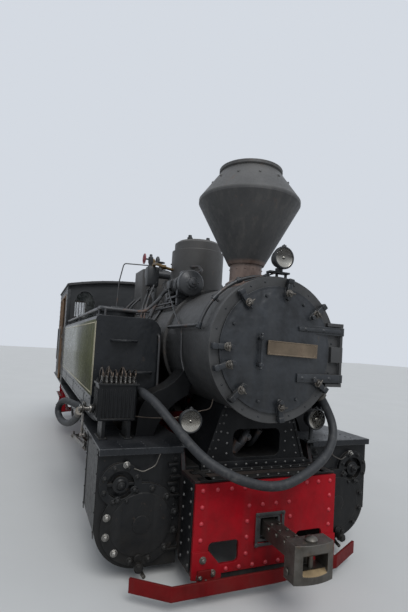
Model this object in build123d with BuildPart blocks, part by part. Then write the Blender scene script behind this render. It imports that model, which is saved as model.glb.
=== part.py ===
"""Narrow-gauge side-tank steam locomotive with outside frames, eight coupled wheels and a flared chimney.

Millimetres. +X points forward, +Y to the locomotive's left and +Z up. The origin is on the ground at the
middle of the length, under the wheel flanges, and the rail's top lies one flange depth above it.
"""
from build123d import *
import math
import os

os.makedirs("parts", exist_ok=True)

# Running gear
back_to_back = 690
wheel_width = 120
tread_diameter = 700
flange_depth = 25
flange_width = 30
tread_drop = 5
axle_spacing = 900
first_axle_x = 1700
axle_count = 4
leading_axle_count = 2
crank_radius = 200
axle_radius = 62
spoke_count = 10
running_clearance = 0.4
seat_gap = 0.3

# Frame
frame_outer = 533
frame_plate = 28
frame_top_z = 855
frame_bottom_z = 232
front_frame_top_z = 700
beam_ahead_of_cylinder = 300
rear_beam_x = -3200
beam_plate = 20
beam_half_width = 533
beam_top_z = 695
beam_bottom_z = 138
rear_beam_half_width = 900
coupler_reach = 500

# Cylinders and motion
cylinder_outset = 125
cylinder_radius = 290
cylinder_length = 550
crosshead_to_cylinder = 300
valve_z = 634
valve_radius = 147
cover_thickness = 25
rod_thickness = 50
con_rod_length = 1950

# Boiler and smokebox
boiler_z = 1554
boiler_radius = 500
smokebox_radius = 480
smokebox_ring_radius = 495
smokebox_behind_beam = 19
smokebox_length = 960
smokebox_wall = 14
door_radius = 428
door_proud = 36
door_opening_radius = 400
hinge_y = 525
chimney_behind_door = 504
dome_x = 1595

# Plates, tanks and cab
running_plate_z = 855
running_plate_thickness = 12
plate_ahead_of_cylinder = 39
plate_rim = 12
side_overhang = 297
cab_front_x = -850
cab_rear_x = -2480
cab_wall = 20
eaves_z = 2355
roof_apex_z = 2480
roof_thickness = 12
tank_front_x = 2364
tank_inner_y = 570
tank_bottom_z = 1120
tank_top_z = 1742
bunker_top_z = 1900
firebox_half = 470

# Worked out from the sizes above
axle_z = tread_diameter / 2 + flange_depth
frame_inner = frame_outer - frame_plate
axle_xs = [first_axle_x - axle_spacing * i for i in range(axle_count)]
drive_x = axle_xs[leading_axle_count]
web_inner_y = frame_outer + 17
web_outer_y = web_inner_y + 55
rod_inner_y = web_outer_y + 10
rod_outer_y = rod_inner_y + rod_thickness
cylinder_y = rod_outer_y + cylinder_outset
cylinder_rear_x = drive_x + crank_radius + con_rod_length + crosshead_to_cylinder
cylinder_front_x = cylinder_rear_x + cylinder_length
half_width = cylinder_y + side_overhang
casing_outer_y = half_width - 2
valve_y = casing_outer_y - valve_radius
beam_x = cylinder_front_x + beam_ahead_of_cylinder
running_plate_front_x = cylinder_front_x + plate_ahead_of_cylinder
smokebox_front_x = beam_x - smokebox_behind_beam
smokebox_rear_x = smokebox_front_x - smokebox_length
chimney_x = smokebox_front_x - chimney_behind_door
plate_top_z = running_plate_z + running_plate_thickness
con_rod_inner_y = cylinder_y - rod_thickness / 2
con_rod_outer_y = cylinder_y + rod_thickness / 2
SIDES = (("right", -1), ("left", 1))
# Crank angle of each side at rest, in degrees from straight ahead towards the top: the cranks are quartered.
CRANK_ANGLE = {"right": 0, "left": -90}


def block(x0, x1, y0, y1, z0, z1, mode=Mode.ADD):
    """A box between two corners."""
    with Locations(((x0 + x1) / 2, (y0 + y1) / 2, (z0 + z1) / 2)):
        Box(abs(x1 - x0), abs(y1 - y0), abs(z1 - z0), mode=mode)


def rod_x(x0, x1, y, z, radius, mode=Mode.ADD):
    """A round bar or hole along X."""
    with BuildSketch(Plane.YZ.offset(x0)) as profile:
        with Locations((y, z)):
            Circle(radius)
    extrude(profile.sketch, amount=x1 - x0, mode=mode)


def rod_y(x, z, y0, y1, radius, mode=Mode.ADD):
    """A round bar or hole along Y."""
    with BuildSketch(Plane.XZ.offset(-y0)) as profile:
        with Locations((x, z)):
            Circle(radius)
    extrude(profile.sketch, amount=y0 - y1, mode=mode)


def rod_z(x, y, z0, z1, radius, mode=Mode.ADD):
    """A round bar or hole along Z."""
    with BuildSketch(Plane.XY.offset(z0)) as profile:
        with Locations((x, y)):
            Circle(radius)
    extrude(profile.sketch, amount=z1 - z0, mode=mode)


def plate_y(points, y0, y1, mode=Mode.ADD):
    """A plate with a straight-sided XZ outline between two Y planes."""
    with BuildSketch(Plane.XZ.offset(-y0)) as profile:
        with BuildLine():
            Polyline(*points, close=True)
        make_face()
    extrude(profile.sketch, amount=y0 - y1, mode=mode)


def plate_x(points, x0, x1, mode=Mode.ADD):
    """A plate with a straight-sided YZ outline between two X planes."""
    with BuildSketch(Plane.YZ.offset(x0)) as profile:
        with BuildLine():
            Polyline(*points, close=True)
        make_face()
    extrude(profile.sketch, amount=x1 - x0, mode=mode)


def save(piece, label):
    """Name a finished piece and write it."""
    piece.part.label = label
    export_step(piece.part, f"parts/{label}.step")


def mirror_to_left(piece):
    """The other side's copy of a piece that is made for the right side."""
    with BuildPart() as other:
        add(mirror(piece.part, about=Plane.XZ, mode=Mode.PRIVATE))
    return other


def save_pair(piece, name):
    """Write a right-hand piece and its mirrored twin."""
    save(piece, f"{name}_right")
    save(mirror_to_left(piece), f"{name}_left")


def save_both(piece, label):
    """Write a right-hand piece and its mirrored twin as one piece of two solids."""
    with BuildPart() as both:
        add(piece.part)
        add(mirror(piece.part, about=Plane.XZ, mode=Mode.PRIVATE))
    save(both, label)


def crank_pin(side):
    """Offset of a side's crank pins from their axles, as (x, z)."""
    angle = math.radians(CRANK_ANGLE[side])
    return crank_radius * math.cos(angle), crank_radius * math.sin(angle)


# Wheelsets: an axle, two spoked wheels inside the frames and two cranks outside them
wheel_inner_y = back_to_back / 2
wheel_outer_y = wheel_inner_y + wheel_width
tread_radius = tread_diameter / 2
rim_radius = tread_radius - 52
hub_radius = 105
spoke_width = 34
spoke_depth = 44
pin_radius = 35
drive_pin_radius = 45
pin_cap_radius = 52
pin_cap = 14
web_half_height = 75
counterweight_radius = 265

for index, axle_x in enumerate(axle_xs):
    with BuildPart() as wheelset:
        centre = Axis((axle_x, 0, axle_z), (0, 1, 0))
        for side, sign in SIDES:
            # The rim with its flange next to the back face and a coned tread
            with BuildSketch(Plane(origin=(axle_x, 0, axle_z), x_dir=(0, sign, 0), z_dir=(sign, 0, 0))):
                with BuildLine():
                    Polyline(
                        (wheel_inner_y, rim_radius),
                        (wheel_inner_y, tread_radius + flange_depth - 6),
                        (wheel_inner_y + 8, tread_radius + flange_depth),
                        (wheel_inner_y + 16, tread_radius + flange_depth - 2),
                        (wheel_inner_y + flange_width, tread_radius),
                        (wheel_outer_y, tread_radius - tread_drop),
                        (wheel_outer_y, rim_radius),
                        close=True,
                    )
                make_face()
            revolve(axis=centre)
            rod_y(axle_x, axle_z, sign * (wheel_inner_y + 8), sign * (wheel_outer_y + 4), hub_radius)
            spoke_y = sign * (wheel_inner_y + wheel_width / 2)
            with BuildSketch(Plane.XZ.offset(-spoke_y)):
                with Locations((axle_x, axle_z)):
                    with PolarLocations((hub_radius + rim_radius) / 2, spoke_count):
                        Rectangle(rim_radius - hub_radius + 24, spoke_width)
            extrude(amount=spoke_depth / 2, both=True)
            # Crank web with its counterweight opposite the pin
            pin_dx, pin_dz = crank_pin(side)
            web_plane = Plane(
                origin=(axle_x, sign * web_inner_y, axle_z),
                x_dir=(pin_dx / crank_radius, 0, pin_dz / crank_radius),
                z_dir=(0, sign, 0),
            )
            with BuildSketch(web_plane):
                Circle(hub_radius)
                with Locations((crank_radius, 0)):
                    Circle(web_half_height)
                with BuildLine():
                    Polyline((0, -95), (crank_radius, -68), (crank_radius, 68), (0, 95), close=True)
                make_face()
                with BuildLine():
                    low = math.radians(125)
                    cos_low = counterweight_radius * math.cos(low)
                    sin_low = counterweight_radius * math.sin(low)
                    Line((0, -hub_radius), (cos_low, -sin_low))
                    ThreePointArc((cos_low, -sin_low), (-counterweight_radius, 0), (cos_low, sin_low))
                    Line((cos_low, sin_low), (0, hub_radius))
                    Line((0, hub_radius), (0, -hub_radius))
                make_face()
            extrude(amount=web_outer_y - web_inner_y)
            pin_x = axle_x + pin_dx
            pin_z = axle_z + pin_dz
            pin_end_y = rod_outer_y + pin_cap
            rod_y(pin_x, pin_z, sign * (web_outer_y - 5), sign * pin_end_y, pin_radius)
            rod_y(pin_x, pin_z, sign * (rod_outer_y + running_clearance), sign * pin_end_y, pin_cap_radius)
            if index == leading_axle_count:
                rod_y(pin_x, pin_z, sign * (pin_end_y - 2), sign * (con_rod_inner_y - 8), drive_pin_radius)
        rod_y(axle_x, axle_z, -web_outer_y, web_outer_y, axle_radius)
    save(wheelset, f"wheelset_{index + 1}")

# Coupling rods: fluted bars that join the four crank pins of a side
eye_radius = 72
for side, sign in SIDES:
    pin_dx, pin_dz = crank_pin(side)
    rod_z_line = axle_z + pin_dz
    with BuildPart() as coupling_rod:
        with BuildSketch(Plane.XZ.offset(-sign * rod_inner_y)):
            for axle_x in axle_xs:
                with Locations((axle_x + pin_dx, rod_z_line)):
                    Circle(eye_radius)
            for axle_x in axle_xs[1:]:
                with Locations((axle_x + axle_spacing / 2 + pin_dx, rod_z_line)):
                    Rectangle(axle_spacing, 92)
            for axle_x in axle_xs:
                with Locations((axle_x + pin_dx, rod_z_line)):
                    Circle(pin_radius + running_clearance, mode=Mode.SUBTRACT)
        extrude(amount=-sign * rod_thickness)
        # Flutes on the outer face
        with BuildSketch(Plane.XZ.offset(-sign * rod_outer_y)):
            for axle_x in axle_xs[1:]:
                with Locations((axle_x + axle_spacing / 2 + pin_dx, rod_z_line)):
                    SlotOverall(axle_spacing - 2 * eye_radius - 60, 50)
        extrude(amount=sign * 14, mode=Mode.SUBTRACT)
        # Oil cups over the eyes
        for axle_x in axle_xs:
            rod_y_mid = sign * (rod_inner_y + rod_thickness / 2)
            rod_z(axle_x + pin_dx, rod_y_mid, rod_z_line + eye_radius - 4, rod_z_line + eye_radius + 26, 16)
    save(coupling_rod, f"coupling_rod_{side}")

# Crosshead with its piston rod, and the connecting rod that hangs on the crosshead's pin
piston_rod_radius = 30
gland_x = cylinder_rear_x - 100
piston_rod_reach = 750
crosshead_pin_radius = 30
crosshead_half_width = 50
guide_gap = 0.6
guide_bottom_z = axle_z + 122
guide_top_z = guide_bottom_z + 42
guide_half_width = 30
big_end_radius = 92
small_end_radius = 52
CROSSHEAD_X = {}
for side, sign in SIDES:
    pin_dx, pin_dz = crank_pin(side)
    big_x = drive_x + pin_dx
    big_z = axle_z + pin_dz
    small_x = big_x + math.sqrt(con_rod_length**2 - pin_dz**2)
    CROSSHEAD_X[side] = small_x
    with BuildPart() as crosshead:
        y_low = sign * cylinder_y - crosshead_half_width
        y_high = sign * cylinder_y + crosshead_half_width
        # Slipper round the guide bar, then two cheeks and the boss of the piston rod
        block(small_x - 115, small_x + 115, y_low, y_high, guide_bottom_z - 28, guide_top_z + 28)
        block(small_x - 78, small_x + 115, y_low, y_high, axle_z - 62, guide_bottom_z - 20)
        block(
            small_x - 120, small_x + 120,
            sign * cylinder_y - guide_half_width - guide_gap,
            sign * cylinder_y + guide_half_width + guide_gap,
            guide_bottom_z - guide_gap, guide_top_z + guide_gap, mode=Mode.SUBTRACT,
        )
        slot_half = rod_thickness / 2 + 1.5
        block(
            small_x - 130, small_x + small_end_radius + 10,
            sign * cylinder_y - slot_half, sign * cylinder_y + slot_half,
            axle_z - 70, axle_z + 82, mode=Mode.SUBTRACT,
        )
        rod_x(small_x + 100, small_x + 150, sign * cylinder_y, axle_z, 48)
        rod_x(small_x + 110, small_x + piston_rod_reach, sign * cylinder_y, axle_z, piston_rod_radius)
        rod_y(small_x, axle_z, y_low - 12, y_high + 12, crosshead_pin_radius)
    save(crosshead, f"crosshead_{side}")

    with BuildPart() as connecting_rod:
        rod_plane = Plane(
            origin=(small_x, sign * con_rod_inner_y, axle_z),
            x_dir=((big_x - small_x) / con_rod_length, 0, (big_z - axle_z) / con_rod_length),
            z_dir=(0, sign, 0),
        )
        with BuildSketch(rod_plane):
            Circle(small_end_radius)
            with Locations((con_rod_length, 0)):
                Circle(big_end_radius)
            with BuildLine():
                Polyline((0, -32), (con_rod_length, -52), (con_rod_length, 52), (0, 32), close=True)
            make_face()
            Circle(crosshead_pin_radius + running_clearance, mode=Mode.SUBTRACT)
        extrude(amount=rod_thickness)
        with BuildSketch(rod_plane.offset(rod_thickness)):
            with Locations((con_rod_length / 2, 0)):
                SlotOverall(con_rod_length - 330, 42)
        extrude(amount=-14, mode=Mode.SUBTRACT)
        # The big end's cap over the crank pin
        with BuildSketch(rod_plane.offset(rod_thickness)):
            with Locations((con_rod_length, 0)):
                Circle(60)
        extrude(amount=7)
    save(connecting_rod, f"connecting_rod_{side}")

# Cylinder blocks: a casing rounded below, a cylinder cover and a valve chest cover with a recessed boss
piston_bore_depth = 600
casing_low_z = axle_z - cylinder_radius
corner_radius = casing_outer_y - cylinder_y
cover_radius = 262
valve_recess_radius = 88
flange_rib_zs = (190, 300, 420, 540, 660)
with BuildPart() as cylinder:
    y_axis = -cylinder_y
    corner = corner_radius * math.sin(math.radians(45))
    with BuildSketch(Plane.YZ.offset(cylinder_rear_x)):
        with BuildLine():
            Line((-frame_outer, casing_low_z), (y_axis, casing_low_z))
            ThreePointArc(
                (y_axis, casing_low_z),
                (y_axis - corner, casing_low_z + corner_radius - corner),
                (-casing_outer_y, casing_low_z + corner_radius),
            )
            Line((-casing_outer_y, casing_low_z + corner_radius), (-casing_outer_y, running_plate_z))
            Line((-casing_outer_y, running_plate_z), (-frame_outer, running_plate_z))
            Line((-frame_outer, running_plate_z), (-frame_outer, casing_low_z))
        make_face()
    extrude(amount=cylinder_length)
    for face_x, outward in ((cylinder_front_x, 1), (cylinder_rear_x, -1)):
        cover_x = face_x + outward * cover_thickness
        rod_x(face_x, cover_x, y_axis, axle_z, cover_radius)
        rod_x(face_x, cover_x, -valve_y, valve_z, valve_radius - 10)
    front_cover_x = cylinder_front_x + cover_thickness
    rod_x(front_cover_x, front_cover_x + 8, y_axis, axle_z, cover_radius - 62)
    # The valve cover's recess with a boss and a cross rib
    rod_x(front_cover_x - 42, front_cover_x + 1, -valve_y, valve_z, valve_recess_radius, mode=Mode.SUBTRACT)
    rod_x(front_cover_x - 43, front_cover_x - 2, -valve_y, valve_z, 52)
    block(
        front_cover_x - 43, front_cover_x - 12, -valve_y - valve_recess_radius - 2,
        -valve_y + valve_recess_radius + 2, valve_z - 9, valve_z + 9,
    )
    # Ribs of the flange that bolts to the frame
    for rib_z in flange_rib_zs:
        block(cylinder_front_x, cylinder_front_x + 26, -frame_outer - 72, -frame_outer, rib_z - 7, rib_z + 7)
    # Drain pipe under the cover, with its union nut
    rod_x(cylinder_front_x, cylinder_front_x + 105, y_axis - 14, casing_low_z + 42, 20)
    rod_x(cylinder_front_x + 62, cylinder_front_x + 92, y_axis - 14, casing_low_z + 42, 30)
    # Stuffing boxes behind
    rod_x(gland_x, cylinder_rear_x, y_axis, axle_z, 82)
    rod_x(gland_x + 20, cylinder_rear_x, -valve_y, valve_z, 60)
    rod_x(
        gland_x - 1, gland_x + piston_bore_depth + 20, y_axis, axle_z,
        piston_rod_radius + running_clearance, mode=Mode.SUBTRACT,
    )
    # The block stands flat against the frame plate
    block(gland_x - 50, cylinder_front_x + 200, -frame_outer, 0, 0, 1200, mode=Mode.SUBTRACT)
save_pair(cylinder, "cylinder")

# Guide bars, each carried by the cylinder's rear cover and by a motion bracket on the frame
bracket_x = drive_x + con_rod_length - crank_radius - 230
with BuildPart() as guide:
    bar_y = -cylinder_y
    block(
        bracket_x - 40, cylinder_rear_x - cover_thickness,
        bar_y - guide_half_width, bar_y + guide_half_width, guide_bottom_z, guide_top_z,
    )
    clear_z = axle_z + crank_radius + web_half_height + 20
    block(bracket_x - 40, bracket_x, bar_y - 45, bar_y + 45, guide_bottom_z, running_plate_z)
    block(bracket_x - 40, bracket_x, bar_y - 45, -frame_outer, clear_z, running_plate_z)
save_both(guide, "guide_bars")

# Valve gear in one plane outside the rods: link, eccentric rod, radius rod and combination lever
gear_y = valve_y
gear_half = 12
link_x = bracket_x - 290
link_z = valve_z + 6
for side, sign in SIDES:
    pin_dx, pin_dz = crank_pin(side)
    pin_x = drive_x + pin_dx
    pin_z = axle_z + pin_dz
    # The return crank's pin trails the main crank pin by a quarter turn on a smaller circle
    return_dx = pin_dz * 0.45
    return_dz = -pin_dx * 0.45
    foot_x = drive_x + return_dx
    foot_z = axle_z + return_dz
    lever_x = CROSSHEAD_X["right"] + 30
    with BuildPart() as valve_gear:
        y_in = sign * (gear_y - gear_half)
        y_out = sign * (gear_y + gear_half)
        # Return crank
        crank_y = sign * (con_rod_outer_y + 14)
        with BuildSketch(Plane.XZ.offset(-crank_y)):
            with Locations((pin_x, pin_z), (foot_x, foot_z)):
                Circle(36)
            with BuildLine():
                reach = math.hypot(foot_x - pin_x, foot_z - pin_z)
                side_x = (foot_z - pin_z) / reach * 26
                side_z = -(foot_x - pin_x) / reach * 26
                Polyline(
                    (pin_x + side_x, pin_z + side_z),
                    (foot_x + side_x, foot_z + side_z),
                    (foot_x - side_x, foot_z - side_z),
                    (pin_x - side_x, pin_z - side_z),
                    close=True,
                )
            make_face()
        extrude(amount=-sign * 24)
        rod_y(foot_x, foot_z, crank_y, y_out, 20)
        # Eccentric rod from the return crank to the foot of the link
        link_foot_x = link_x + 10
        link_foot_z = link_z - 205
        with BuildSketch(Plane.XZ.offset(-y_in)):
            with Locations((foot_x, foot_z), (link_foot_x, link_foot_z)):
                Circle(32)
            with BuildLine():
                reach = math.hypot(link_foot_x - foot_x, link_foot_z - foot_z)
                side_x = -(link_foot_z - foot_z) / reach * 20
                side_z = (link_foot_x - foot_x) / reach * 20
                Polyline(
                    (foot_x + side_x, foot_z + side_z),
                    (link_foot_x + side_x, link_foot_z + side_z),
                    (link_foot_x - side_x, link_foot_z - side_z),
                    (foot_x - side_x, foot_z - side_z),
                    close=True,
                )
            make_face()
        extrude(amount=-sign * 2 * gear_half)
        # Curved link on its bracket from the running plate
        link_radius = 900
        with BuildSketch(Plane.XZ.offset(-sign * (gear_y - 26))):
            with Locations((link_x + link_radius, link_z)):
                Circle(link_radius + 32)
                Circle(link_radius - 32, mode=Mode.SUBTRACT)
            with Locations((link_x + 100, link_z)):
                Rectangle(360, 360, mode=Mode.INTERSECT)
        extrude(amount=-sign * 52)
        block(link_x - 30, link_x + 30, y_in, y_out, link_foot_z, link_z - 150)
        block(
            link_x - 22, link_x + 22, sign * (gear_y - 60), sign * (gear_y - 26),
            link_z - 30, running_plate_z,
        )
        # Radius rod to the valve spindle, and the combination lever
        block(link_x - 20, lever_x + 20, y_in, y_out, valve_z - 18, valve_z + 18)
        rod_x(lever_x, gland_x + 20, sign * valve_y, valve_z, 16)
        block(lever_x - 22, lever_x + 22, y_in, y_out, axle_z - 70, valve_z + 60)
    save(valve_gear, f"valve_gear_{side}")

# Main frame plates with lightening holes, horns and axleboxes
box_half = 105
with BuildPart() as frame_plate_right:
    with BuildSketch(Plane.XZ.offset(frame_inner)):
        with BuildLine():
            Polyline(
                (beam_x - beam_plate, front_frame_top_z - 5),
                (running_plate_front_x, front_frame_top_z - 5),
                (running_plate_front_x - 60, frame_top_z),
                (rear_beam_x + beam_plate, frame_top_z),
                (rear_beam_x + beam_plate, frame_bottom_z + 105),
                (cab_rear_x - 20, frame_bottom_z + 60),
                (axle_xs[-1] - 400, frame_bottom_z),
                (cylinder_front_x, frame_bottom_z),
                (cylinder_front_x + 60, beam_bottom_z),
                (beam_x - beam_plate, beam_bottom_z),
                close=True,
            )
        make_face()
        for axle_x in axle_xs[1:]:
            with Locations((axle_x + axle_spacing / 2, axle_z + 250)):
                RectangleRounded(420, 200, 90, mode=Mode.SUBTRACT)
        with Locations((axle_xs[-1] - 725, axle_z + 200), (axle_xs[-1] - 1230, axle_z + 200)):
            RectangleRounded(390, 260, 110, mode=Mode.SUBTRACT)
    extrude(amount=frame_plate)
    for axle_x in axle_xs:
        block(
            axle_x - box_half, axle_x + box_half, -frame_outer - 8, -wheel_outer_y - 12,
            axle_z - 120, axle_z + 120,
        )
        rod_y(
            axle_x, axle_z, -frame_outer - 20, -wheel_outer_y,
            axle_radius + running_clearance, mode=Mode.SUBTRACT,
        )
save_pair(frame_plate_right, "frame_plate")

# Cross members between the frame plates, as (x, low z, high z), with the deck over the front ones
stretcher_thickness = 16
stretcher_low_z = frame_bottom_z + 75
stretcher_high_z = front_frame_top_z - 30
deck_thickness = 14
deck_z = front_frame_top_z - 5
stretchers = (
    (beam_x - 220, stretcher_low_z, deck_z),
    (cylinder_rear_x - 200, stretcher_low_z, stretcher_high_z),
    (axle_xs[0] - axle_spacing / 2, stretcher_low_z, stretcher_high_z),
    (axle_xs[1] - axle_spacing / 2, stretcher_low_z, stretcher_high_z),
    (axle_xs[2] - axle_spacing / 2, stretcher_low_z, stretcher_low_z + 173),
    (axle_xs[-1] - 500, stretcher_low_z, stretcher_high_z),
    (cab_rear_x + 130, stretcher_low_z, stretcher_high_z),
    (rear_beam_x + 240, stretcher_low_z, stretcher_high_z),
)
with BuildPart() as frame_stretchers:
    for stretcher_x, low_z, high_z in stretchers:
        block(
            stretcher_x - stretcher_thickness / 2, stretcher_x + stretcher_thickness / 2,
            -frame_inner, frame_inner, low_z, high_z,
        )
    block(
        running_plate_front_x, beam_x - beam_plate, -frame_outer, frame_outer,
        deck_z, deck_z + deck_thickness,
    )
save(frame_stretchers, "frame_stretchers")

# Buffer beams: a plate with a pocket for the coupler, and corner plates that hold the guard bar
pocket_half_width = 87
pocket_low_z = 297
pocket_high_z = 468
pocket_rim = 22
pocket_proud = 14
corner_plate = 12
cutout_y = 323
cutout_z = 264
cutout_width = 210
cutout_height = 140
rear_beam_low_z = 245
ENDS = (("front", 1, beam_x), ("rear", -1, rear_beam_x))
pocket_z = (pocket_low_z + pocket_high_z) / 2
pocket_height = pocket_high_z - pocket_low_z
for end, forward, face_x in ENDS:
    low_z = beam_bottom_z if forward > 0 else rear_beam_low_z
    half_beam = beam_half_width if forward > 0 else rear_beam_half_width
    with BuildPart() as buffer_beam:
        with BuildSketch(Plane.YZ.offset(face_x)):
            with Locations((0, (beam_top_z + low_z) / 2)):
                Rectangle(2 * half_beam, beam_top_z - low_z)
            if forward > 0:
                with Locations((-cutout_y, cutout_z), (cutout_y, cutout_z)):
                    RectangleRounded(cutout_width, cutout_height, 28, mode=Mode.SUBTRACT)
            with Locations((0, pocket_z)):
                RectangleRounded(2 * pocket_half_width, pocket_height, 18, mode=Mode.SUBTRACT)
        extrude(amount=-forward * beam_plate)
        # Raised rim round the pocket
        with BuildSketch(Plane.YZ.offset(face_x)):
            with Locations((0, pocket_z)):
                RectangleRounded(
                    2 * (pocket_half_width + pocket_rim), pocket_height + 2 * pocket_rim, 30
                )
                RectangleRounded(2 * pocket_half_width, pocket_height, 18, mode=Mode.SUBTRACT)
        extrude(amount=forward * pocket_proud)
        for _, sign in SIDES:
            plate_x(
                (
                    (sign * (beam_half_width + 4), low_z + 153), (sign * 426, low_z + 150),
                    (sign * 336, low_z + 48), (sign * 336, 118), (sign * 384, 104),
                    (sign * (beam_half_width + 4), 128),
                ),
                face_x, face_x + forward * corner_plate,
            )
        if forward < 0:
            # Posts under the bunker's floor
            for _, sign in SIDES:
                block(
                    face_x + beam_plate, face_x + beam_plate + 90,
                    sign * 700 - 8, sign * 700 + 8, beam_top_z - 220, running_plate_z,
                )
    save(buffer_beam, f"buffer_beam_{end}")

# Guard bars below the beams, with ends bent back, on arms from the beams' corner plates
guard_low_z = 78
guard_height = 84
guard_thickness = 14
guard_reach = 104
guard_bend_y = 690
guard_far_bend_y = 520
guard_end_y = 900
guard_end_back = 60
guard_far_end_y = 800
guard_far_end_back = 80
for end, forward, face_x in ENDS:
    # The left half of the bar is swept back more than the right half
    outline = (
        (-guard_end_back, -guard_end_y),
        (guard_reach, -guard_bend_y),
        (guard_reach, 0),
        (guard_reach - 40, guard_far_bend_y),
        (-guard_far_end_back, guard_far_end_y),
    )
    front_edge = [(face_x + forward * x, y) for x, y in outline]
    back_edge = [(x - forward * guard_thickness, y * 0.99) for x, y in reversed(front_edge)]
    with BuildPart() as guard_bar:
        with BuildSketch(Plane.XY.offset(guard_low_z)):
            with BuildLine():
                Polyline(*front_edge, *back_edge, close=True)
            make_face()
        extrude(amount=guard_height)
        for arm_y, arm_back in ((-455, 6), (455, 42)):
            block(
                face_x + forward * corner_plate, face_x + forward * (guard_reach - arm_back),
                arm_y - 45, arm_y + 45, guard_low_z + 34, guard_low_z + 48,
            )
            block(
                face_x + forward * corner_plate, face_x + forward * 2 * corner_plate,
                arm_y - 45, arm_y + 45, guard_low_z + 34, guard_low_z + 104,
            )
    save(guard_bar, f"guard_bar_{end}")

# Centre couplers: a riveted shank from the pocket and a head with a wide mouth
head_half_width = 130
head_low_z = 285
head_high_z = 495
head_length = 120
shank_half = 50
coupler_z = 385
coupler_mouth_half = 84
coupler_mouth_height = 72
coupler_pin_radius = 18
# The shanks end against the outermost cross members
front_shank_x = stretchers[0][0] + stretcher_thickness / 2
rear_shank_x = stretchers[-1][0] - stretcher_thickness / 2
for (end, forward, end_x), shank_x in zip(ENDS, (front_shank_x, rear_shank_x)):
    with BuildPart() as coupler:
        face_x = end_x + forward * coupler_reach
        back_x = face_x - forward * head_length
        with BuildSketch(Plane.XY.offset(head_low_z)):
            with BuildLine():
                Line((back_x, -head_half_width), (back_x, head_half_width))
                Line((back_x, head_half_width), (face_x - forward * 22, head_half_width))
                ThreePointArc(
                    (face_x - forward * 22, head_half_width), (face_x, 0),
                    (face_x - forward * 22, -head_half_width),
                )
                Line((face_x - forward * 22, -head_half_width), (back_x, -head_half_width))
            make_face()
        extrude(amount=head_high_z - head_low_z)
        # The mouth runs through beside the shank, and its lips are bevelled
        mouth_low_z = coupler_z - coupler_mouth_height / 2
        mouth_high_z = coupler_z + coupler_mouth_height / 2
        block(
            back_x - forward, face_x + forward, -coupler_mouth_half, coupler_mouth_half,
            mouth_low_z, mouth_high_z, mode=Mode.SUBTRACT,
        )
        plate_y(
            (
                (face_x - forward * 34, mouth_low_z + 1), (face_x + forward, mouth_low_z + 1),
                (face_x + forward, mouth_low_z - 26),
            ),
            -coupler_mouth_half, coupler_mouth_half, mode=Mode.SUBTRACT,
        )
        plate_y(
            (
                (face_x - forward * 34, mouth_high_z - 1), (face_x + forward, mouth_high_z - 1),
                (face_x + forward, mouth_high_z + 26),
            ),
            -coupler_mouth_half, coupler_mouth_half, mode=Mode.SUBTRACT,
        )
        block(
            shank_x, back_x + forward * 22, -shank_half, shank_half,
            coupler_z - shank_half, coupler_z + shank_half,
        )
        rod_z(
            back_x + forward * 62, 0, head_low_z - 1, head_high_z + 1, coupler_pin_radius,
            mode=Mode.SUBTRACT,
        )
    save(coupler, f"coupler_{end}")

# Smokebox saddle with a sloping front and an opening for the blast pipe's hand hole
saddle_front_x = beam_x - 210
saddle_rear_x = cylinder_rear_x
saddle_base_half = 420
saddle_top_half = 250
saddle_recess = 430
saddle_base_z = deck_z + deck_thickness
with BuildPart() as smokebox_saddle:
    plate_x(
        (
            (-saddle_base_half, saddle_base_z),
            (saddle_base_half, saddle_base_z),
            (saddle_top_half, boiler_z - 380),
            (-saddle_top_half, boiler_z - 380),
        ),
        saddle_rear_x, saddle_front_x,
    )
    with BuildSketch(Plane.YZ.offset(saddle_front_x - saddle_recess)):
        with Locations((0, saddle_base_z + 178)):
            RectangleRounded(380, 194, 50)
    extrude(amount=saddle_recess + 1, mode=Mode.SUBTRACT)
    rod_x(saddle_rear_x - 1, saddle_front_x + 1, 0, boiler_z, smokebox_radius, mode=Mode.SUBTRACT)
    block(running_plate_front_x, saddle_front_x + 1, -600, 600, 0, saddle_base_z, mode=Mode.SUBTRACT)
    block(
        saddle_rear_x, running_plate_front_x, -frame_inner, frame_inner,
        front_frame_top_z - 30, saddle_base_z + 20,
    )
save(smokebox_saddle, "smokebox_saddle")

# Smokebox shell with the front ring that carries the door
hinge_x = smokebox_front_x + 22
hinge_pin_radius = 12
strap_zs = (boiler_z - 184, boiler_z + 151)
strap_half = 28
hinge_low_z = strap_zs[0] - strap_half - 30
hinge_high_z = strap_zs[1] + strap_half + 30
with BuildPart() as smokebox:
    rod_x(smokebox_rear_x, smokebox_front_x - 16, 0, boiler_z, smokebox_radius)
    rod_x(smokebox_front_x - 36, smokebox_front_x, 0, boiler_z, smokebox_ring_radius)
    rod_x(
        smokebox_rear_x + smokebox_wall, smokebox_front_x - 20, 0, boiler_z,
        smokebox_radius - smokebox_wall, mode=Mode.SUBTRACT,
    )
    rod_x(smokebox_front_x - 40, smokebox_front_x + 1, 0, boiler_z, door_opening_radius, mode=Mode.SUBTRACT)
    # Hinge post beside the door, held by three lugs on the ring, as (low z, high z, inner y)
    rod_z(hinge_x, hinge_y, hinge_low_z, hinge_high_z, hinge_pin_radius)
    for low_z, high_z, lug_y in (
        (hinge_low_z, strap_zs[0] - strap_half - 6, 400),
        (boiler_z - 70, boiler_z + 40, 440),
        (strap_zs[1] + strap_half + 6, hinge_high_z, 400),
    ):
        block(smokebox_front_x, hinge_x + 6, lug_y, hinge_y + 14, low_z, high_z)
    # Strip that stiffens the ring behind the hinges
    block(
        smokebox_front_x - 16, smokebox_front_x, hinge_y - 110, hinge_y + 14, hinge_low_z, hinge_high_z,
    )
    rod_x(smokebox_front_x - 40, smokebox_front_x + 1, 0, boiler_z, door_opening_radius, mode=Mode.SUBTRACT)
save(smokebox, "smokebox")

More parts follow.
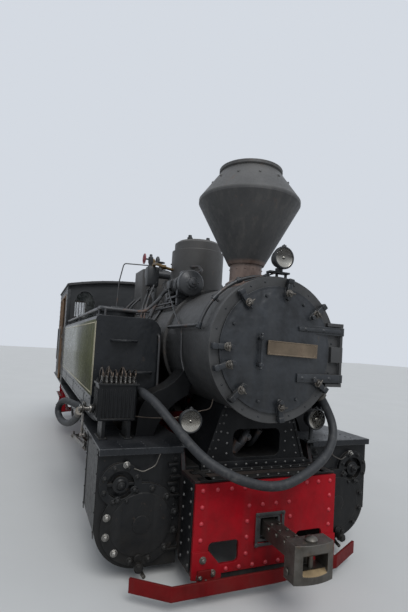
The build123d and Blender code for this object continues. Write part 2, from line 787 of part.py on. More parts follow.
# Blast pipe on the smokebox floor, with its nozzle under the chimney
blast_pipe_radius = 62
blast_nozzle_z = boiler_z - 60
with BuildPart() as blast_pipe:
    with BuildSketch(Plane.XZ):
        with BuildLine():
            Polyline(
                (chimney_x, boiler_z - smokebox_radius + 4),
                (chimney_x + blast_pipe_radius + 40, boiler_z - smokebox_radius + 4),
                (chimney_x + blast_pipe_radius + 40, boiler_z - smokebox_radius + 60),
                (chimney_x + blast_pipe_radius, boiler_z - smokebox_radius + 90),
                (chimney_x + blast_pipe_radius, blast_nozzle_z - 120),
                (chimney_x + blast_pipe_radius - 20, blast_nozzle_z),
                (chimney_x, blast_nozzle_z),
                close=True,
            )
        make_face()
    revolve(axis=Axis((chimney_x, 0, 0), (0, 0, 1)))
    with BuildSketch(Plane.YZ.offset(chimney_x - 200)):
        with Locations((0, boiler_z)):
            Circle(smokebox_radius - smokebox_wall)
    extrude(amount=400, mode=Mode.INTERSECT)
save(blast_pipe, "blast_pipe")

# Dished smokebox door with its clamps, hinge straps and handle
door_back_x = smokebox_front_x + 0.3
clamp_angles = (180, -163, -135, -85, -34, 42, 82, 130)
clamp_middle_radius = 408
clamp_length = 150
door_flange = 14
strap_inner_y = 150
with BuildPart() as smokebox_door:
    rod_x(door_back_x, door_back_x + door_flange, 0, boiler_z, door_radius)
    with BuildSketch(Plane.XZ):
        with BuildLine():
            x_rim = door_back_x + door_flange
            Line((x_rim, boiler_z), (x_rim + door_proud, boiler_z))
            ThreePointArc(
                (x_rim + door_proud, boiler_z),
                (x_rim + door_proud * 0.78, boiler_z + door_radius * 0.48),
                (x_rim, boiler_z + door_radius - 18),
            )
            Line((x_rim, boiler_z + door_radius - 18), (x_rim, boiler_z))
        make_face()
    revolve(axis=Axis((0, 0, boiler_z), (1, 0, 0)))
    for strap_z in strap_zs:
        block(hinge_x - 9, hinge_x + 9, strap_inner_y, hinge_y, strap_z - strap_half, strap_z + strap_half)
        rod_z(hinge_x, hinge_y, strap_z - strap_half, strap_z + strap_half, hinge_pin_radius + 8)
        rod_z(
            hinge_x, hinge_y, strap_z - strap_half - 1, strap_z + strap_half + 1,
            hinge_pin_radius + running_clearance, mode=Mode.SUBTRACT,
        )
    # Clamps round the rim: a bar from the door over the ring, its foot and its nut
    bar_x = door_back_x + door_flange
    with BuildSketch(Plane.YZ.offset(bar_x - 1)):
        for angle in clamp_angles:
            with Locations((0, boiler_z)):
                with PolarLocations(clamp_middle_radius, 1, start_angle=angle):
                    RectangleRounded(clamp_length, 30, 12)
    extrude(amount=17)
    for reach, low_x, high_x, radius in (
        (clamp_middle_radius + clamp_length / 2 - 18, door_back_x, bar_x + 30, 14),
        (clamp_middle_radius - clamp_length / 2 + 18, bar_x, bar_x + 44, 16),
    ):
        with BuildSketch(Plane.YZ.offset(low_x)):
            for angle in clamp_angles:
                with Locations((0, boiler_z)):
                    with PolarLocations(reach, 1, start_angle=angle):
                        RegularPolygon(radius, 6)
        extrude(amount=high_x - low_x)
    # Grab handle left of the plate, on two knobs
    for knob_z in (boiler_z - 105, boiler_z + 69):
        rod_x(bar_x, bar_x + 78, -157, knob_z, 13)
    rod_z(bar_x + 66, -157, boiler_z - 125, boiler_z + 89, 9)
save(smokebox_door, "smokebox_door")

# Boiler barrel with its bands, and the firebox that it runs into
backhead_depth = 250
backhead_x = cab_front_x - backhead_depth
fire_door_radius = 190
fire_door_z = plate_top_z + 390
fire_door_thickness = 16
fire_door_x = backhead_x - 12
fire_hinge_x = fire_door_x - 12
fire_hinge_y = fire_door_radius + 26
fire_strap_zs = (fire_door_z - 90, fire_door_z + 90)
band_xs = (smokebox_rear_x - 31, dome_x - 345, dome_x - 1245, dome_x - 2095)
firebox_front_x = 250
with BuildPart() as boiler:
    rod_x(backhead_x, smokebox_rear_x, 0, boiler_z, boiler_radius)
    for band_x in band_xs:
        rod_x(band_x - 26, band_x + 26, 0, boiler_z, boiler_radius + 4)
    block(
        backhead_x, firebox_front_x, -firebox_half, firebox_half, front_frame_top_z + 160, boiler_z,
    )
    # Ring round the fire hole, with brackets that hold the fire door's hinge pins
    rod_x(fire_door_x + 0.3, backhead_x, 0, fire_door_z, fire_door_radius + 20)
    for strap_z in fire_strap_zs:
        for low_z in (strap_z - 36, strap_z + 20):
            block(
                fire_hinge_x - 14, backhead_x, fire_hinge_y - 12, fire_hinge_y + 16, low_z, low_z + 16,
            )
        rod_z(fire_hinge_x, fire_hinge_y, strap_z - 36, strap_z + 36, 8)
save(boiler, "boiler")

ashpan_half = 330
ashpan_bend_z = 700
ashpan_low_z = 500
with BuildPart() as ashpan:
    plate_x(
        (
            (-ashpan_half, ashpan_bend_z), (ashpan_half, ashpan_bend_z),
            (ashpan_half - 80, ashpan_low_z), (80 - ashpan_half, ashpan_low_z),
        ),
        cab_front_x + 20, firebox_front_x - 100,
    )
    block(
        cab_front_x + 20, firebox_front_x - 100, -ashpan_half, ashpan_half,
        ashpan_bend_z, front_frame_top_z + 160,
    )
save(ashpan, "ashpan")

# Chimney: a stub, a flared cone, an inward cone and a rolled rim
stub_radius = 126
stub_top_z = 2200
cone_low_radius = 141
cone_wide_radius = 403
cone_wide_z = 2698
cone_top_radius = 240
cone_top_z = 2932
rim_z = 2963
chimney_bore = 105
with BuildPart() as chimney:
    with BuildSketch(Plane.XZ):
        with BuildLine():
            Polyline(
                (chimney_x + chimney_bore, boiler_z + smokebox_radius - 30),
                (chimney_x + stub_radius + 30, boiler_z + smokebox_radius - 30),
                (chimney_x + stub_radius + 30, boiler_z + smokebox_radius + 16),
                (chimney_x + stub_radius, boiler_z + smokebox_radius + 40),
                (chimney_x + stub_radius, stub_top_z),
                (chimney_x + cone_low_radius, stub_top_z),
                (chimney_x + cone_wide_radius, cone_wide_z - 14),
                (chimney_x + cone_wide_radius, cone_wide_z + 12),
                (chimney_x + cone_top_radius, cone_top_z),
                (chimney_x + cone_top_radius + 12, cone_top_z + 8),
                (chimney_x + cone_top_radius + 12, rim_z),
                (chimney_x + cone_top_radius - 12, rim_z),
                (chimney_x + cone_top_radius - 12, cone_top_z - 40),
                (chimney_x + chimney_bore, stub_top_z),
                close=True,
            )
        make_face()
    revolve(axis=Axis((chimney_x, 0, 0), (0, 0, 1)))
    rod_x(smokebox_rear_x, smokebox_front_x, 0, boiler_z, smokebox_radius, mode=Mode.SUBTRACT)
save(chimney, "chimney")

# Steam dome with a flanged base and a low cap
dome_radius = 266
dome_side_top_z = 2498
dome_cap_radius = 242
dome_cap_top_z = 2606
with BuildPart() as steam_dome:
    with BuildSketch(Plane.XZ):
        with BuildLine():
            Polyline(
                (dome_x, boiler_z + boiler_radius - 80),
                (dome_x + dome_radius + 30, boiler_z + boiler_radius - 80),
                (dome_x + dome_radius + 30, boiler_z + boiler_radius + 10),
                (dome_x + dome_radius, boiler_z + boiler_radius + 34),
                (dome_x + dome_radius, dome_side_top_z),
                (dome_x + dome_cap_radius, dome_side_top_z + 8),
                (dome_x + dome_cap_radius, dome_cap_top_z - 26),
                (dome_x + dome_cap_radius - 34, dome_cap_top_z),
                (dome_x, dome_cap_top_z),
                close=True,
            )
        make_face()
    revolve(axis=Axis((dome_x, 0, 0), (0, 0, 1)))
    rod_x(dome_x - 400, dome_x + 400, 0, boiler_z, boiler_radius, mode=Mode.SUBTRACT)
save(steam_dome, "steam_dome")

# Sand box behind the dome, and the valve turret before it
sand_box_x = 270
sand_box_length = 500
sand_box_width = 600
sand_box_top_z = 2475
with BuildPart() as sand_box:
    block(
        sand_box_x - sand_box_length / 2, sand_box_x + sand_box_length / 2,
        -sand_box_width / 2, sand_box_width / 2, boiler_z + 300, sand_box_top_z,
    )
    fillet(sand_box.edges().filter_by(Axis.Z), radius=60)
    rod_x(
        sand_box_x - sand_box_length, sand_box_x + sand_box_length, 0, boiler_z,
        boiler_radius + 4, mode=Mode.SUBTRACT,
    )
    rod_z(sand_box_x, 0, sand_box_top_z - 1, sand_box_top_z + 25, 110)
save(sand_box, "sand_box")

turret_x = 830
turret_z = boiler_z + boiler_radius + 316
turret_reach = 330
turret_valve_ys = (-300, -175, 0, 150)
with BuildPart() as turret:
    rod_z(turret_x, 0, boiler_z + boiler_radius - 20, turret_z, 70)
    rod_z(turret_x, 0, boiler_z + boiler_radius - 20, boiler_z + boiler_radius + 40, 105)
    rod_y(turret_x, turret_z, -turret_reach, turret_reach - 130, 48)
    rod_y(turret_x, turret_z, -turret_reach - 16, -turret_reach, 66)
    rod_y(turret_x, turret_z, turret_reach - 130, turret_reach - 114, 66)
    for valve_y_offset in turret_valve_ys:
        rod_z(turret_x, valve_y_offset, turret_z, turret_z + 110, 20)
        rod_z(turret_x, valve_y_offset, turret_z + 40, turret_z + 70, 34)
    rod_x(turret_x - 130, turret_x + 130, 0, boiler_z, boiler_radius + seat_gap, mode=Mode.SUBTRACT)
save(turret, "turret")

# Turbine generator on the boiler's right shoulder, turned from a table of (x from its back, radius)
generator_x = 1850
generator_y = -305
generator_z = boiler_z + 527
generator_profile = (
    (0, 0), (0, 58), (18, 84), (185, 84), (190, 91), (235, 91), (235, 84), (377, 84),
    (377, 113), (426, 113), (436, 104), (462, 46), (470, 20), (470, 0),
)
with BuildPart() as generator:
    with BuildSketch(Plane.XZ.offset(-generator_y)):
        with BuildLine():
            Polyline(
                *[(generator_x + x, generator_z + radius) for x, radius in generator_profile], close=True
            )
        make_face()
    revolve(axis=Axis((0, generator_y, generator_z), (1, 0, 0)))
    for seat_x in (generator_x + 50, generator_x + 250):
        block(
            seat_x, seat_x + 40, generator_y - 75, generator_y + 75,
            generator_z - 190, generator_z,
        )
    block(
        generator_x + 30, generator_x + 310, generator_y - 90, generator_y + 90,
        generator_z - 118, generator_z - 102,
    )
    rod_x(generator_x - 100, band_xs[0] - 30, 0, boiler_z, boiler_radius + seat_gap, mode=Mode.SUBTRACT)
save(generator, "generator")

# Headlamps at both ends, as (facing, front x, y, z, radius): one high on a small table, two low ones
top_lamp = (1, smokebox_front_x + 28, 6, boiler_z + 622, 72)
low_lamps = (
    (1, running_plate_front_x + 43, -510, 1043, 76),
    (1, running_plate_front_x + 43, 510, 1043, 76),
)
rear_lamps = (
    (-1, rear_beam_x - 110, -620, 1500, 76),
    (-1, rear_beam_x - 110, 620, 1500, 76),
)
lamp_depth_ratio = 1.5
table_z = boiler_z + 534


def lamp_body(facing, front_x, y, z, radius):
    """A bowl-shaped lamp with a rolled rim."""
    depth = facing * lamp_depth_ratio * radius
    rim_x = front_x - facing * 14
    with BuildSketch(Plane.XZ.offset(-y)) as bowl:
        with BuildLine():
            Line((front_x, z), (front_x, z + radius))
            Line((front_x, z + radius), (rim_x, z + radius))
            Line((rim_x, z + radius), (rim_x, z + radius - 4))
            ThreePointArc(
                (rim_x, z + radius - 4),
                (front_x - 0.72 * depth, z + 0.72 * radius),
                (front_x - depth, z + 0.3 * radius),
            )
            Line((front_x - depth, z + 0.3 * radius), (front_x - depth, z))
            Line((front_x - depth, z), (front_x, z))
        make_face()
    revolve(bowl.sketch, axis=Axis((0, y, z), (1, 0, 0)))


with BuildPart() as headlamps:
    for lamp in (top_lamp, *low_lamps, *rear_lamps):
        lamp_body(*lamp)
    _, front_x, y, z, radius = top_lamp
    stem_x = front_x - 52
    rod_z(stem_x, y, table_z, z - radius + 20, 14)
    rod_z(stem_x, y, table_z, table_z + 22, 26)
    block(stem_x - 35, stem_x + 16, y - 80, y + 80, table_z - 12, table_z)
    for leg_y in (y - 72, y, y + 72):
        block(stem_x - 32, stem_x - 20, leg_y - 8, leg_y + 8, boiler_z + 400, table_z - 6)
    rod_x(
        smokebox_front_x - 180, smokebox_front_x + 20, 0, boiler_z, smokebox_radius + seat_gap,
        mode=Mode.SUBTRACT,
    )
    for _, front_x, y, z, radius in low_lamps:
        rod_z(front_x - 56, y, plate_top_z, z - radius + 14, 14)
        block(front_x - 90, front_x - 44, y - 30, y + 30, plate_top_z, plate_top_z + 10)
    for facing, front_x, y, z, radius in rear_lamps:
        rod_z(front_x + 40, y, z - radius - 40, z - radius + 14, 14)
        block(front_x + 20, rear_beam_x + beam_plate, y - 40, y + 40, z - radius - 52, z - radius - 40)
save(headlamps, "headlamps")

# Running plates with a shallow rim along the outer and front edges
rim_depth = 30
with BuildPart() as running_plate:
    block(
        cab_front_x, running_plate_front_x, -half_width, -firebox_half - 5,
        running_plate_z, plate_top_z,
    )
    block(
        cab_front_x, cylinder_rear_x - cover_thickness - 10, -half_width, -half_width + plate_rim,
        running_plate_z - rim_depth, running_plate_z,
    )
    block(
        cylinder_front_x + cover_thickness + 2, running_plate_front_x, -half_width, -frame_outer,
        running_plate_z - rim_depth, running_plate_z,
    )
save_both(running_plate, "running_plates")

# Bearers that lift the tanks off the running plates, with a strip along the outside
bearer_count = 7
bearer_spacing = 505
bearer_outer_y = half_width - 107
strip_inner_y = half_width - 27
strip_depth = 130
with BuildPart() as tank_bearers:
    for index in range(bearer_count):
        bearer_x = cab_front_x + 60 + bearer_spacing * index
        block(bearer_x - 10, bearer_x + 10, -bearer_outer_y, -tank_inner_y, plate_top_z, tank_bottom_z)
    block(
        cab_front_x, tank_front_x - 20, -half_width, -strip_inner_y,
        tank_bottom_z - strip_depth, tank_bottom_z,
    )
    block(
        cab_front_x, tank_front_x - 20, -strip_inner_y, -bearer_outer_y + 20,
        tank_bottom_z - 10, tank_bottom_z,
    )
save_both(tank_bearers, "tank_bearers")

# Side tanks with a filler neck on top, two rounded treads on the front and lugs for the lid's pin
filler_x = tank_front_x - 564
filler_y = half_width - 247
filler_radius = 170
filler_top_z = tank_top_z + 60
lid_thickness = 14
lid_pin_radius = 9
lug_radius = 10
lug_half = 34
lid_hinge_x = filler_x - filler_radius - 24
lid_hinge_z = filler_top_z + lid_thickness / 2
tank_treads = ((half_width - 222, 1545), (tank_inner_y + 162, 1305))
with BuildPart() as side_tank:
    block(cab_front_x, tank_front_x, -half_width, -tank_inner_y, tank_bottom_z, tank_top_z)
    top_edges = side_tank.edges().filter_by(Axis.X).group_by(Axis.Z)[-1].sort_by(Axis.Y)
    fillet(top_edges[0], radius=30)
    fillet(top_edges[-1], radius=110)
    rod_z(filler_x, -filler_y, tank_top_z - 1, filler_top_z, filler_radius)
    rod_z(filler_x, -filler_y, tank_top_z - 120, filler_top_z + 1, filler_radius - 14, mode=Mode.SUBTRACT)
    # Lugs that hold the pin, one each side of the lid's strap
    for lug_y in (-filler_y - lug_half, -filler_y + lug_half - 10):
        block(
            lid_hinge_x - lug_radius, lid_hinge_x + lug_radius, lug_y, lug_y + 10,
            tank_top_z - 1, lid_hinge_z,
        )
        rod_y(lid_hinge_x, lid_hinge_z, lug_y, lug_y + 10, lug_radius)
    rod_y(lid_hinge_x, lid_hinge_z, -filler_y - lug_half, -filler_y + lug_half, lid_pin_radius)
    for tread_y, tread_z in tank_treads:
        with BuildSketch(Plane.XY.offset(tread_z)):
            with Locations((tank_front_x, -tread_y)):
                Ellipse(74, 106)
        extrude(amount=14)
save_pair(side_tank, "side_tank")

with BuildPart() as tank_lid:
    rod_z(filler_x, -filler_y, filler_top_z, filler_top_z + lid_thickness, filler_radius + 10)
    block(
        lid_hinge_x, filler_x - filler_radius + 20, -filler_y - 18, -filler_y + 18,
        filler_top_z, filler_top_z + lid_thickness,
    )
    rod_y(lid_hinge_x, lid_hinge_z, -filler_y - 18, -filler_y + 18, lid_pin_radius + 7)
    rod_y(
        lid_hinge_x, lid_hinge_z, -filler_y - 19, -filler_y + 19,
        lid_pin_radius + running_clearance, mode=Mode.SUBTRACT,
    )
    rod_z(filler_x + 60, -filler_y, filler_top_z + lid_thickness - 1, filler_top_z + 44, 12)
    rod_y(filler_x + 60, filler_top_z + 44, -filler_y - 55, -filler_y + 55, 11)
save_pair(tank_lid, "tank_lid")

# Mechanical lubricator on the right running plate: a box on two feet with the stub of its drive shaft
lub_x = cylinder_rear_x + 250
lub_y = -945
lub_half = 135
lub_low_z = 997
lub_top_z = 1243
lub_shaft_z = 1068
with BuildPart() as lubricator:
    block(lub_x - 100, lub_x + 100, lub_y - lub_half, lub_y + lub_half, lub_low_z, lub_top_z)
    fillet(lubricator.edges().filter_by(Axis.Z), radius=22)
    for foot_y in (lub_y - 88, lub_y + 88):
        block(lub_x - 90, lub_x + 90, foot_y - 12, foot_y + 12, plate_top_z, lub_low_z + 3)
    block(
        lub_x - 110, lub_x + 110, lub_y - lub_half - 8, lub_y + lub_half + 8,
        lub_top_z - 4, lub_top_z + 10,
    )
    shaft_end_y = lub_y - lub_half - 27
    rod_y(lub_x, lub_shaft_z, shaft_end_y, lub_y - lub_half, 17)
    rod_y(lub_x, lub_shaft_z, shaft_end_y, shaft_end_y + 12, 31)
save(lubricator, "lubricator")

# Steam-pipe casings that curve from the smokebox down to the cylinders
casing_front_x = cylinder_rear_x + 250
casing_rear_x = cylinder_rear_x + 50
with BuildPart() as steam_pipe_case:
    with BuildSketch(Plane.YZ.offset(casing_rear_x)):
        with BuildLine():
            Line((-330, boiler_z - 170), (-436, boiler_z - 187))
            ThreePointArc(
                (-436, boiler_z - 187), (-515, boiler_z - 287), (-640, boiler_z - 358)
            )
            ThreePointArc(
                (-640, boiler_z - 358), (-734, boiler_z - 436), (-775, boiler_z - 556)
            )
            Line((-775, boiler_z - 556), (-785, plate_top_z))
            Line((-785, plate_top_z), (-647, plate_top_z))
            ThreePointArc((-647, plate_top_z), (-570, boiler_z - 528), (-399, boiler_z - 387))
            Line((-399, boiler_z - 387), (-330, boiler_z - 170))
        make_face()
    extrude(amount=casing_front_x - casing_rear_x)
    rod_x(casing_rear_x - 1, casing_front_x + 1, 0, boiler_z, smokebox_radius, mode=Mode.SUBTRACT)
save_both(steam_pipe_case, "steam_pipe_cases")

# Cab: front, two sides, back, floor and roof
roof_rise = roof_apex_z - eaves_z
roof_radius = (half_width**2 + roof_rise**2) / (2 * roof_rise)
roof_under_z = roof_apex_z - roof_thickness
roof_centre_z = roof_under_z - roof_radius
wall_top_z = eaves_z - roof_thickness


def gable(x0, x1, low_z):
    """A cab end plate with an arched top."""
    with BuildSketch(Plane.YZ.offset(x0)) as profile:
        with BuildLine():
            Line((-half_width, low_z), (half_width, low_z))
            Line((half_width, low_z), (half_width, wall_top_z))
            ThreePointArc((half_width, wall_top_z), (0, roof_under_z), (-half_width, wall_top_z))
            Line((-half_width, wall_top_z), (-half_width, low_z))
        make_face()
    extrude(profile.sketch, amount=x1 - x0)


window_half = 158
window_y = half_width - 251
window_low_z = 1790
window_spring_z = 2140
with BuildPart() as cab_front:
    gable(cab_front_x - cab_wall, cab_front_x, plate_top_z)
    rod_x(cab_front_x - cab_wall - 1, cab_front_x + 1, 0, boiler_z, boiler_radius, mode=Mode.SUBTRACT)
    block(
        cab_front_x - cab_wall - 1, cab_front_x + 1, -firebox_half, firebox_half, 0, boiler_z,
        mode=Mode.SUBTRACT,
    )
    for sign in (-1, 1):
        with BuildSketch(Plane.YZ.offset(cab_front_x - cab_wall - 1)):
            with Locations((sign * window_y, (window_low_z + window_spring_z) / 2)):
                Rectangle(2 * window_half, window_spring_z - window_low_z)
            with Locations((sign * window_y, window_spring_z)):
                Circle(window_half - 20)
        extrude(amount=cab_wall + 2, mode=Mode.SUBTRACT)
save(cab_front, "cab_front")

back_window_low_z = 1950
with BuildPart() as cab_back:
    gable(cab_rear_x, cab_rear_x + cab_wall, plate_top_z)
    for sign in (-1, 1):
        block(
            cab_rear_x - 1, cab_rear_x + cab_wall + 1, sign * (half_width - 447), sign * (half_width - 147),
            back_window_low_z, back_window_low_z + 300, mode=Mode.SUBTRACT,
        )
save(cab_back, "cab_back")

door_front_x = cab_front_x - 330
door_rear_x = door_front_x - 650
side_opening_top_z = 2220
side_window_low_z = 1740
with BuildPart() as cab_side:
    block(
        cab_rear_x + cab_wall, cab_front_x - cab_wall, -half_width, -half_width + cab_wall,
        plate_top_z, wall_top_z - 0.3,
    )
    block(
        door_rear_x, door_front_x, -half_width - 1, -half_width + cab_wall + 1,
        plate_top_z - 1, side_opening_top_z, mode=Mode.SUBTRACT,
    )
    block(
        cab_rear_x + 120, door_rear_x - 60, -half_width - 1, -half_width + cab_wall + 1,
        side_window_low_z, side_opening_top_z, mode=Mode.SUBTRACT,
    )
save_pair(cab_side, "cab_side")

with BuildPart() as cab_floor:
    block(rear_beam_x + beam_plate, cab_front_x, -half_width, half_width, running_plate_z, plate_top_z)
    block(
        cab_front_x - backhead_depth - 5, cab_front_x + 1, -firebox_half - 5, firebox_half + 5,
        running_plate_z - 1, plate_top_z + 1, mode=Mode.SUBTRACT,
    )
save(cab_floor, "cab_floor")

roof_overhang = 60
with BuildPart() as cab_roof:
    edge_y = half_width + 20
    under_edge_z = roof_centre_z + math.sqrt(roof_radius**2 - edge_y**2)
    over_edge_z = roof_centre_z + math.sqrt((roof_radius + roof_thickness) ** 2 - edge_y**2)
    with BuildSketch(Plane.YZ.offset(cab_rear_x - roof_overhang)):
        with BuildLine():
            ThreePointArc((-edge_y, over_edge_z), (0, roof_apex_z), (edge_y, over_edge_z))
            Line((edge_y, over_edge_z), (edge_y, under_edge_z))
            ThreePointArc((edge_y, under_edge_z), (0, roof_under_z), (-edge_y, under_edge_z))
            Line((-edge_y, under_edge_z), (-edge_y, over_edge_z))
        make_face()
    extrude(amount=cab_front_x - cab_rear_x + 2 * roof_overhang)
save(cab_roof, "cab_roof")

# Coal bunker behind the cab
bunker_wall = 20
bunker_half = half_width - 47
with BuildPart() as bunker:
    block(rear_beam_x + beam_plate, cab_rear_x, -bunker_half, bunker_half, plate_top_z, bunker_top_z)
    block(
        rear_beam_x + beam_plate + bunker_wall, cab_rear_x - bunker_wall,
        -bunker_half + bunker_wall, bunker_half - bunker_wall,
        plate_top_z + bunker_wall, bunker_top_z + 1, mode=Mode.SUBTRACT,
    )
save(bunker, "bunker")

# Handrails: along each tank, and one that arches over the smokebox and runs back along the boiler
rail_radius = 14
rail_y = half_width - 37
rail_z = tank_top_z + 58
tank_rail_posts = (cab_front_x + 150, (cab_front_x + tank_front_x) / 2, tank_front_x - 120)
arch_radius = smokebox_radius + 36
arch_x = smokebox_front_x - 180
arch_angle = 15
arch_post_angles = (40, 90, 140)
arch_rear_x = smokebox_rear_x + 110
with BuildPart() as handrails:
    for _, sign in SIDES:
        rod_x(cab_front_x, tank_front_x - 60, sign * rail_y, rail_z, rail_radius)
        for post_x in tank_rail_posts:
            rod_z(post_x, sign * rail_y, tank_top_z - 30, rail_z, 9)
        block(
            cab_front_x - 10, tank_front_x, sign * tank_inner_y, sign * (half_width + 1),
            tank_bottom_z, tank_top_z, mode=Mode.SUBTRACT,
        )
    for angle in arch_post_angles:
        foot_y = math.cos(math.radians(angle))
        foot_z = math.sin(math.radians(angle))
        with BuildSketch(Plane(
            origin=(arch_x, (smokebox_radius - 10) * foot_y, boiler_z + (smokebox_radius - 10) * foot_z),
            z_dir=(0, foot_y, foot_z),
        )) as post:
            Circle(9)
        extrude(post.sketch, amount=46)
    end_y = arch_radius * math.cos(math.radians(arch_angle))
    end_z = boiler_z + arch_radius * math.sin(math.radians(arch_angle))
    for _, sign in SIDES:
        rod_y(arch_rear_x + 20, end_z, sign * (end_y - 60), sign * end_y, 9)
    rod_x(smokebox_rear_x, smokebox_front_x, 0, boiler_z, smokebox_radius + seat_gap, mode=Mode.SUBTRACT)
    # The arch itself, turned about the boiler's axis from one end to the other
    with BuildSketch(Plane(origin=(arch_x, end_y, end_z), z_dir=(0, end_z - boiler_z, -end_y))) as arch:
        Circle(rail_radius)
    revolve(
        arch.sketch, axis=Axis((0, 0, boiler_z), (1, 0, 0)), revolution_arc=180 - 2 * arch_angle,
    )
    for _, sign in SIDES:
        rod_x(arch_rear_x, arch_x, sign * end_y, end_z, rail_radius)
        with Locations((arch_x, sign * end_y, end_z)):
            Sphere(rail_radius + 1)
save(handrails, "handrails")

# Cab steps hanging from the floor
step_low_z = 420
step_rise = 220
with BuildPart() as cab_steps:
    for step_x in (door_rear_x, door_front_x):
        block(
            step_x - 6, step_x + 6, -(half_width - 47), -(half_width - 107), step_low_z, running_plate_z,
        )
    for step_z in (step_low_z, step_low_z + step_rise):
        block(door_rear_x, door_front_x, -(half_width - 7), -(half_width - 187), step_z, step_z + 12)
save_both(cab_steps, "cab_steps")

# Leaf springs over the axleboxes ahead of the cab: a pack of leaves, given as half lengths, on a buckle
# between two hangers
spring_y = frame_outer - 18
spring_width = 70
leaf_thickness = 13
leaf_camber = 18
leaf_half_lengths = (330, 330, 285, 240, 195, 150, 105)
sprung_axles = 3
spring_top_z = plate_top_z + 185
pack_low_z = spring_top_z - leaf_thickness * len(leaf_half_lengths)
with BuildPart() as springs:
    for _, sign in SIDES:
        y_low = sign * spring_y - spring_width / 2
        y_high = sign * spring_y + spring_width / 2
        for axle_x in axle_xs[:sprung_axles]:
            with BuildSketch(Plane.XZ.offset(-y_low)):
                for index, half in enumerate(leaf_half_lengths):
                    top_z = spring_top_z - index * leaf_thickness
                    low_z = top_z - leaf_thickness
                    rise = leaf_camber * (half / leaf_half_lengths[0]) ** 2
                    left_x = axle_x - half
                    right_x = axle_x + half
                    with BuildLine():
                        ThreePointArc((left_x, top_z + rise), (axle_x, top_z), (right_x, top_z + rise))
                        Line((right_x, top_z + rise), (right_x, low_z + rise))
                        ThreePointArc((right_x, low_z + rise), (axle_x, low_z), (left_x, low_z + rise))
                        Line((left_x, low_z + rise), (left_x, top_z + rise))
                    make_face()
            extrude(amount=-spring_width)
            block(axle_x - 42, axle_x + 42, y_low - 3, y_high + 3, pack_low_z - 10, spring_top_z + 12)
            block(axle_x - 24, axle_x + 24, y_low + 10, y_high - 10, plate_top_z, pack_low_z - 10)
            for end_x in (axle_x - 300, axle_x + 300):
                rod_z(end_x, sign * spring_y, plate_top_z, spring_top_z + 48, 13)
                rod_z(end_x, sign * spring_y, spring_top_z + 12, spring_top_z + 30, 24)
save(springs, "springs")

# Brake gear: a shoe behind each wheel on a hanger from the frame, with a beam between the two shoes
shoe_inner_radius = tread_diameter / 2 + 5
shoe_thickness = 38
shoe_angle = 24
shoe_width = 74
shoe_y = back_to_back / 2 + wheel_width - shoe_width / 2 - 4
hanger_back = shoe_inner_radius + shoe_thickness + 6
hanger_top_z = axle_z + 120
half_angle = math.radians(shoe_angle)
with BuildPart() as brake_gear:
    for axle_x in axle_xs:
        hanger_x = axle_x - hanger_back
        rod_y(hanger_x, axle_z - 60, -shoe_y, shoe_y, 16)
        for _, sign in SIDES:
            inner, outer = [
                [
                    (axle_x - radius * math.cos(angle), axle_z + radius * math.sin(angle))
                    for angle in (-half_angle, 0, half_angle)
                ]
                for radius in (shoe_inner_radius, shoe_inner_radius + shoe_thickness)
            ]
            with BuildSketch(Plane.XZ.offset(shoe_width / 2 - sign * shoe_y)):
                with BuildLine():
                    ThreePointArc(*inner)
                    Line(inner[2], outer[2])
                    ThreePointArc(*reversed(outer))
                    Line(outer[0], inner[0])
                make_face()
            extrude(amount=-shoe_width)
            block(
                hanger_x - 12, hanger_x + 12, sign * shoe_y - 14, sign * shoe_y + 14,
                axle_z - 80, hanger_top_z + 24,
            )
            rod_y(hanger_x, hanger_top_z, sign * (shoe_y - 30), sign * frame_inner, 17)
save(brake_gear, "brake_gear")

# Fire door on the backhead, hung from two knuckles at its left edge
with BuildPart() as fire_door:
    rod_x(fire_door_x - fire_door_thickness, fire_door_x, 0, fire_door_z, fire_door_radius)
    for strap_z in fire_strap_zs:
        block(
            fire_door_x - fire_door_thickness - 6, fire_door_x - 4, 40, fire_hinge_y,
            strap_z - 18, strap_z + 18,
        )
        rod_z(fire_hinge_x, fire_hinge_y, strap_z - 18, strap_z + 18, 16)
        rod_z(
            fire_hinge_x, fire_hinge_y, strap_z - 19, strap_z + 19, 8 + running_clearance,
            mode=Mode.SUBTRACT,
        )
    rod_x(
        fire_door_x - 70, fire_door_x - fire_door_thickness, 40 - fire_door_radius, fire_door_z, 10,
    )
save(fire_door, "fire_door")

# Suction hose: a stiff hose from its union on the left of the smokebox round the front to the right side
hose_diameter = 62
hose_route = (
    (3050, 494, 1215), (3052, 548, 1143), (3100, 583, 1005), (3190, 495, 888), (3262, 344, 799),
    (3318, 151, 731), (3345, -29, 690), (3345, -256, 730), (3300, -465, 826), (3180, -555, 908),
    (3020, -621, 1008), (2920, -687, 1096), (2860, -740, 1160), (2770, -775, 1190), (2640, -770, 1195),
    (2510, -772, 1170), (2440, -820, 1100), (2400, -930, 1010), (2330, -1012, 950), (2150, -1020, 935),
    (1850, -1020, 930), (1640, -1030, 928), (1530, -1085, 926), (1400, -1150, 942), (1270, -1200, 938),
    (1180, -1236, 870), (1180, -1236, 790), (1300, -1200, 735), (1520, -1160, 755), (1740, -1134, 825),
    (1900, -1128, 885), (2000, -1128, 930),
)
route = [Vector(*point) for point in hose_route]
radii = []
for before, here, after in zip(route, route[1:], route[2:]):
    turn = (here - before).get_angle(after - here)
    shorter = min((here - before).length, (after - here).length)
    radii.append(0.45 * shorter / math.tan(math.radians(turn / 2)))
with BuildPart() as suction_hose:
    with BuildLine() as hose_path:
        FilletPolyline(*hose_route, radius=radii)
    with BuildSketch(Plane(origin=hose_route[0], z_dir=hose_path.line % 0)):
        Circle(hose_diameter / 2)
    sweep(path=hose_path.line)
hose_length = sum(edge.length for edge in hose_path.line.edges())
print("hose length", round(hose_length))
save(suction_hose, "suction_hose")

